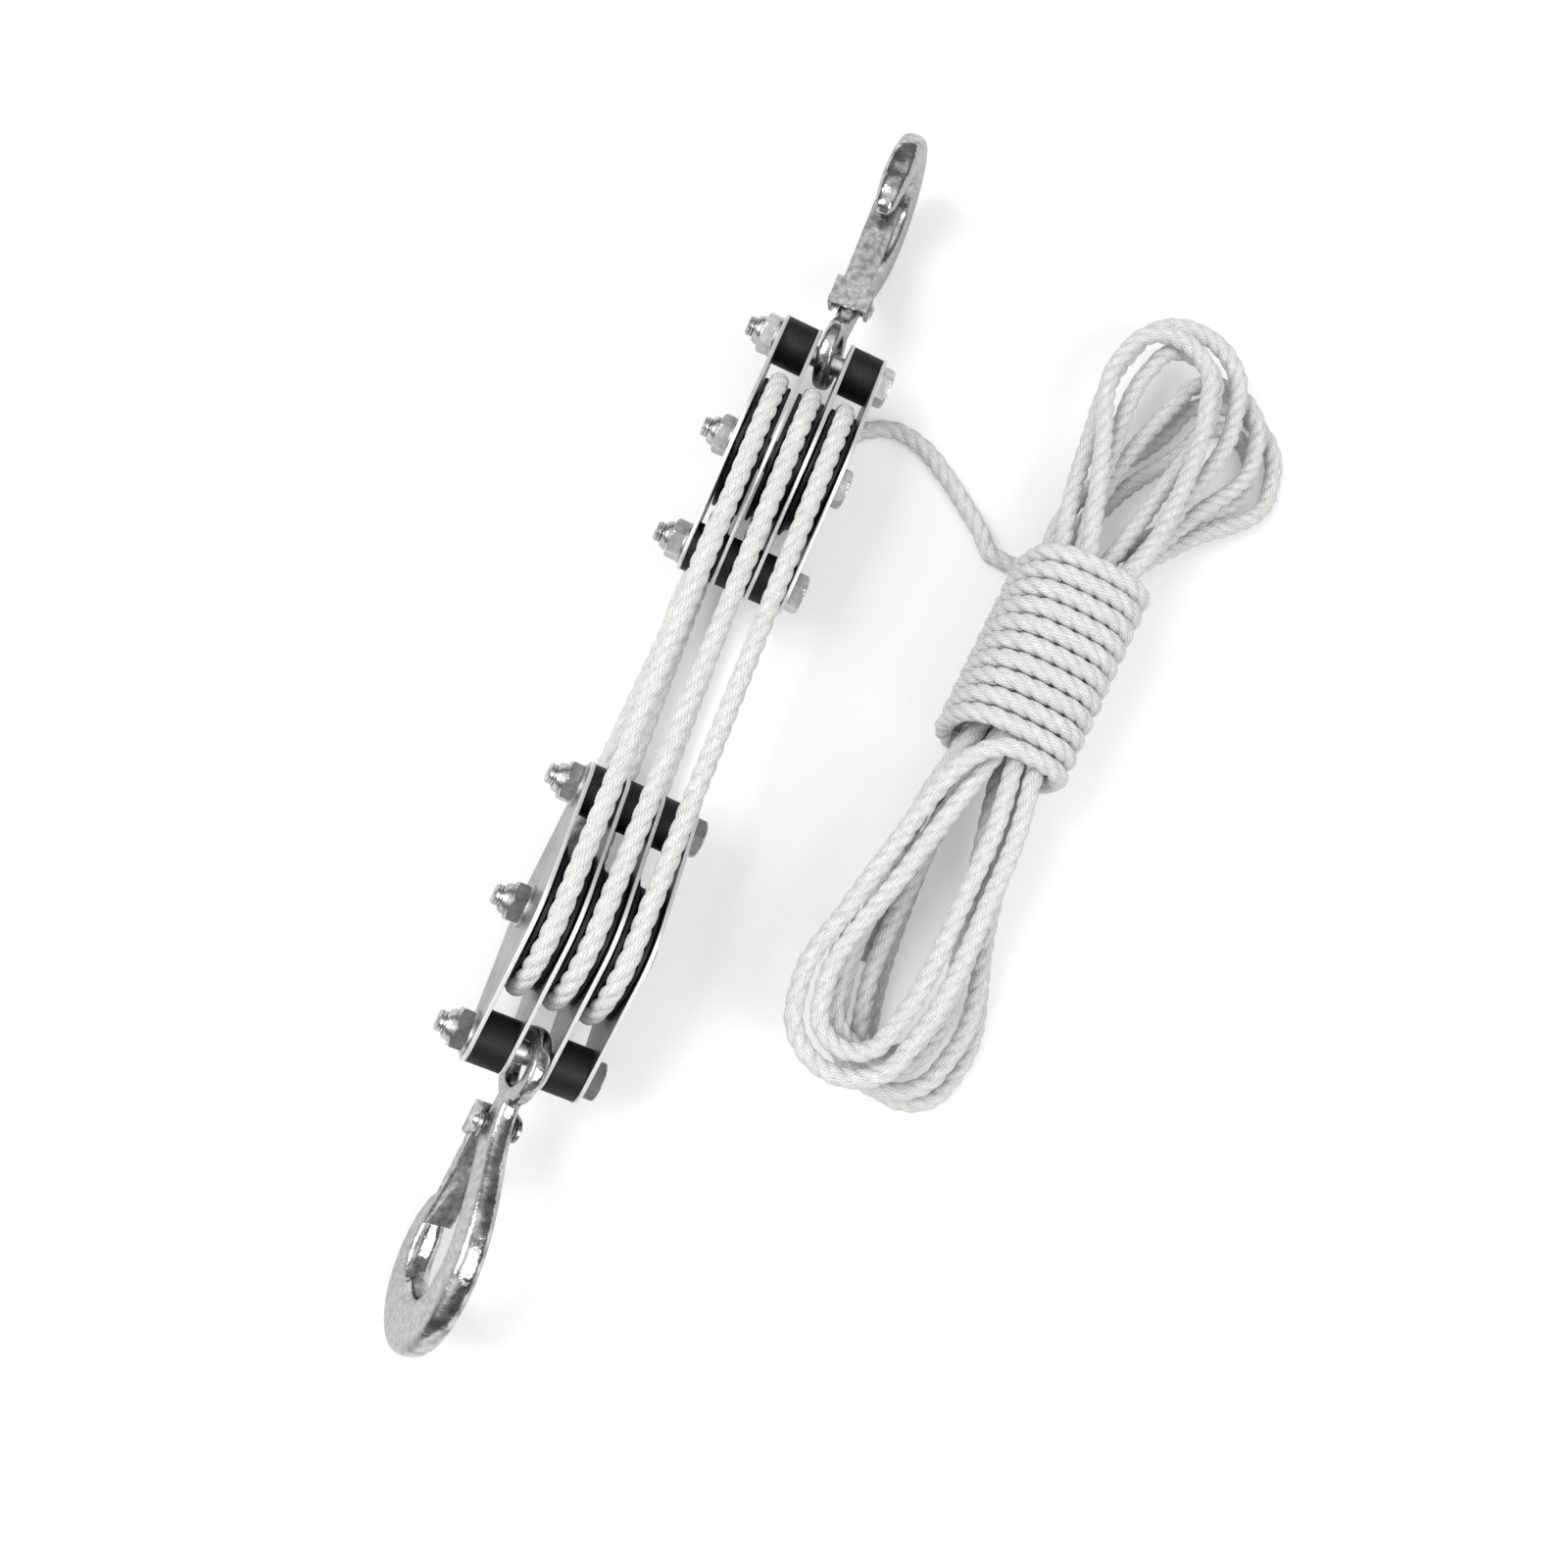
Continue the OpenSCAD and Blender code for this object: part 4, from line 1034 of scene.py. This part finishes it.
def remesh(piece):
    """Fuses a piece into one skin of even faces, then eases it."""
    fuse = piece.modifiers.new("fuse", "REMESH")
    fuse.mode = "VOXEL"
    fuse.voxel_size = SKIN_VOXEL * MM
    ease = piece.modifiers.new("ease", "SMOOTH")
    ease.factor = SKIN_EASE
    ease.iterations = SKIN_ROUNDS
    graph = bpy.context.evaluated_depsgraph_get()
    skin = bpy.data.meshes.new_from_object(piece.evaluated_get(graph))
    piece.modifiers.clear()
    piece.data = skin
    skin.polygons.foreach_set("use_smooth", [True] * len(skin.polygons))


def make_hook(block):
    """The forged hook. Its flat attribute is 1 where the surface faces along its pin."""
    bolt, axes = hook_place(block)
    body = f"{block}_hook"
    verts, faces = joined([forging_surface(), eye_surface()])
    hook = mesh_piece(f"{block}_hook_forged", None, FORGING, verts, faces)
    outward(hook)
    remesh(hook)
    mesh = hook.data
    normals = np.empty(len(mesh.vertices) * 3)
    mesh.vertex_normals.foreach_get("vector", normals)
    facing = np.abs(normals.reshape(-1, 3)[:, 0])
    flat = mesh.attributes.new("flat", "FLOAT", "POINT")
    share = np.clip((facing - FLAT_FROM) / FLAT_OVER, 0, 1)
    flat.data.foreach_set("value", share.astype(np.float32))
    points = np.empty(len(mesh.vertices) * 3)
    mesh.vertices.foreach_get("co", points)
    points = placed((bolt * MM, axes), points.reshape(-1, 3))
    mesh.vertices.foreach_set("co", points.ravel())
    mesh.materials.clear()
    mesh.materials.append(FORGING)
    mesh.update()
    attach(hook, body)
    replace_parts(hook, body)


WIRE_D, COIL_R, COIL_TURNS, SPRING_GAP, SPRING_LEG, LEG_RISE = 0.8, 3.5, 1.5, 0.2, 6.0, 0.6
LATCH_EAR_W, LATCH_SHEET, LATCH_OFF, LATCH_WIDE = 20.0, 1.6, 8.5, 9.0
BRIDGE_SHARE, COIL_POINTS, WIRE_POINTS = 0.75, 37, 10
COIL_X = (LATCH_EAR_W / 2 - LATCH_SHEET - SPRING_GAP - WIRE_D / 2,
          SHANK_SHARES[2][3] * HOOK_T / 2 + SPRING_GAP + WIRE_D / 2)
BRIDGE_OFF = LATCH_OFF - LATCH_SHEET - SPRING_GAP - WIRE_D / 2


def wire_surface(route):
    """A round wire: ring k is the circle route_k + r (n_k cos a + b_k sin a), where n and b
    are the route's carried normals."""
    tangent, normal = carried_normals(route)
    a = turn_angles(WIRE_POINTS)[:, None]
    side = np.cos(a) * normal[:, None] + np.sin(a) * np.cross(tangent, normal)[:, None]
    rings = route[:, None] + WIRE_D / 2 * side
    return rings.reshape(-1, 3), tube_faces(len(route), WIRE_POINTS)


def make_spring(block):
    """The double torsion spring: two coils about the latch's pin, a leg at each outer end and a
    bridge between them, made as one fixed wire.
    """
    turn = np.radians(-90 - 360 * COIL_TURNS * np.linspace(0, 1, COIL_POINTS))
    coil = np.column_stack([np.linspace(*COIL_X, COIL_POINTS), COIL_R * np.cos(turn),
                            COIL_R * np.sin(turn)])
    leg = [(COIL_X[0], SPRING_LEG * t, -COIL_R - LEG_RISE * t) for t in (1, 0.75, 0.5, 0.25)]
    reach = BRIDGE_SHARE * LATCH_WIDE
    bridge = [(COIL_X[1], reach - WIRE_D, (COIL_R + BRIDGE_OFF) / 2),
              (COIL_X[1] - WIRE_D, reach, BRIDGE_OFF)]
    half = np.concatenate([leg, coil, bridge])
    route = smooth_curve(np.concatenate([half * (-1, 1, 1), half[::-1]]), fine=2)
    lean = math.radians(LATCH_LEAN)
    tilt = np.array([(1, 0, 0), (0, math.cos(lean), -math.sin(lean)),
                     (0, math.sin(lean), math.cos(lean))])
    bolt, axes = hook_place(block)
    pin = bolt + axes @ (0, PIN_U, PIN_V)
    verts, faces = wire_surface(route)
    spring = mesh_piece(f"{block}_latch_spring_wound", None, SPRING_STEEL,
                        placed((pin, axes @ tilt), verts), faces)
    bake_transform(spring)
    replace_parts(spring, f"{block}_latch_spring")


LATCH_EDGE, LATCH_FOLD, LATCH_SHARP, DOUBLES = 0.35, 30, 40, 0.001


def make_latch(block):
    """The stamped latch: a copy of its CAD node with its doubles merged and its edges
    rounded."""
    node = f"{block}_latch"
    mesh = bmesh.new()
    mesh.from_mesh(bpy.data.objects[node].data)
    bmesh.ops.remove_doubles(mesh, verts=mesh.verts, dist=DOUBLES * MM)
    copy = bpy.data.meshes.new(f"{node}_stamped")
    mesh.to_mesh(copy)
    mesh.free()
    copy.materials.clear()
    copy.materials.append(ZINC_LATCH)
    latch = bpy.data.objects.new(f"{node}_stamped", copy)
    bpy.context.scene.collection.objects.link(latch)
    edge = latch.modifiers.new("edge", "BEVEL")
    edge.width = LATCH_EDGE * MM
    edge.segments = 2
    edge.angle_limit = math.radians(LATCH_FOLD)
    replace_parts(latch, node)
    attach(latch, node)
    by_angle(latch, LATCH_SHARP)


for block in BLOCKS:
    make_hook(block)
    make_spring(block)
    make_latch(block)

for name, node in frame["nodes"].items():
    if name.endswith(("axle_sleeves", "latch_pin")):
        node.data.materials.clear()
        node.data.materials.append(ZINC_BOLT)


# Floor, lights and background

FLOOR_HALF, FADE_FROM, FLOOR_LIFT, FLOOR_DOWN = 1.1, 0.55, 0.26, 0.0005
FLOOR_TONE, FLOOR_ROUGH, WHITE = 0.8, 0.9, (1, 1, 1, 1)
LAMP_UP = (0, 1, 0.01)


def make_floor():
    """A pale floor. Rays from the camera see it nearly white, and wholly so towards its edge;
    its own shading, with the hoist's shadow, is kept under that."""
    made, nodes, links, shader = material("pale_floor", (FLOOR_TONE,) * 3,
                                          FLOOR_ROUGH)
    shader.inputs["Specular IOR Level"].default_value = 0.0
    path = nodes.new("ShaderNodeLightPath")
    where = nodes.new("ShaderNodeTexCoord")
    away = nodes.new("ShaderNodeVectorMath")
    away.operation = "LENGTH"
    links.new(where.outputs["Object"], away.inputs[0])
    fade = nodes.new("ShaderNodeMapRange")
    fade.inputs["From Min"].default_value = FADE_FROM
    fade.inputs["From Max"].default_value = FLOOR_HALF
    fade.inputs["To Min"].default_value = FLOOR_LIFT
    links.new(away.outputs["Value"], fade.inputs["Value"])
    lift = nodes.new("ShaderNodeEmission")
    lift.inputs["Color"].default_value = WHITE
    strength = calc(nodes, links, "MULTIPLY", path.outputs["Is Camera Ray"],
                    fade.outputs["Result"])
    links.new(strength, lift.inputs["Strength"])
    add = nodes.new("ShaderNodeAddShader")
    links.new(shader.outputs["BSDF"], add.inputs[0])
    links.new(lift.outputs["Emission"], add.inputs[1])
    links.new(add.outputs["Shader"], nodes["Material Output"].inputs["Surface"])
    mesh = bpy.data.meshes.new("floor")
    half = FLOOR_HALF
    corners = [(-half, -half, 0), (half, -half, 0), (half, half, 0), (-half, half, 0)]
    mesh.from_pydata(corners, [], [(0, 1, 2, 3)])
    mesh.materials.append(made)
    floor = bpy.data.objects.new("floor", mesh)
    floor.location.z = -FLOOR_DOWN
    bpy.context.scene.collection.objects.link(floor)


def make_light(name, place, aim, size, watts):
    """A soft rectangular lamp."""
    data = bpy.data.lights.new(name, "AREA")
    data.shape = "RECTANGLE"
    data.size, data.size_y = size
    data.energy = watts
    lamp = bpy.data.objects.new(name, data)
    back = unit(np.array(place) - np.array(aim))
    lamp.matrix_world = aimed(place, unit(np.cross(LAMP_UP, back)), back)
    bpy.context.scene.collection.objects.link(lamp)


GLOSS_BANDS = ((0.22, 0.15), (0.62, 0.24), (0.82, 0.8))
GLOSS_WHITE_TO, DIFFUSE_TONE = 0.1, 0.56


def make_world():
    """White to the camera. Gloss sees it by height: white at the horizon, dark over that and
    grey overhead, as in a studio with a dark room round a white table."""
    world = bpy.data.worlds.new("studio")
    bpy.context.scene.world = world
    world.use_nodes = True
    nodes, links = world.node_tree.nodes, world.node_tree.links
    path = nodes.new("ShaderNodeLightPath")
    where = nodes.new("ShaderNodeTexCoord")
    parts = nodes.new("ShaderNodeSeparateXYZ")
    links.new(where.outputs["Generated"], parts.inputs["Vector"])
    height = nodes.new("ShaderNodeValToRGB")
    bands = height.color_ramp.elements
    bands[0].position, bands[0].color = GLOSS_WHITE_TO, WHITE
    bands[1].position, bands[1].color = 1.0, WHITE
    for place, tone in GLOSS_BANDS:
        bands.new(place).color = (tone, tone, tone, 1)
    links.new(parts.outputs["Z"], height.inputs["Fac"])
    diffuse = (DIFFUSE_TONE, DIFFUSE_TONE, DIFFUSE_TONE, 1)
    gloss = mixed(nodes, links, path.outputs["Is Glossy Ray"], diffuse, height.outputs["Color"])
    seen = mixed(nodes, links, path.outputs["Is Camera Ray"], gloss, WHITE)
    links.new(seen, nodes["Background"].inputs["Color"])


make_floor()
make_world()
make_light("key", place=(-1.0, -0.2, 1.3), aim=(0.05, 0, 0), size=(0.9, 0.9), watts=16)
make_light("fill", place=(1.0, -0.4, 1.3), aim=(0.05, 0, 0), size=(1.2, 0.8), watts=9)
bpy.context.scene.view_settings.view_transform = "Standard"
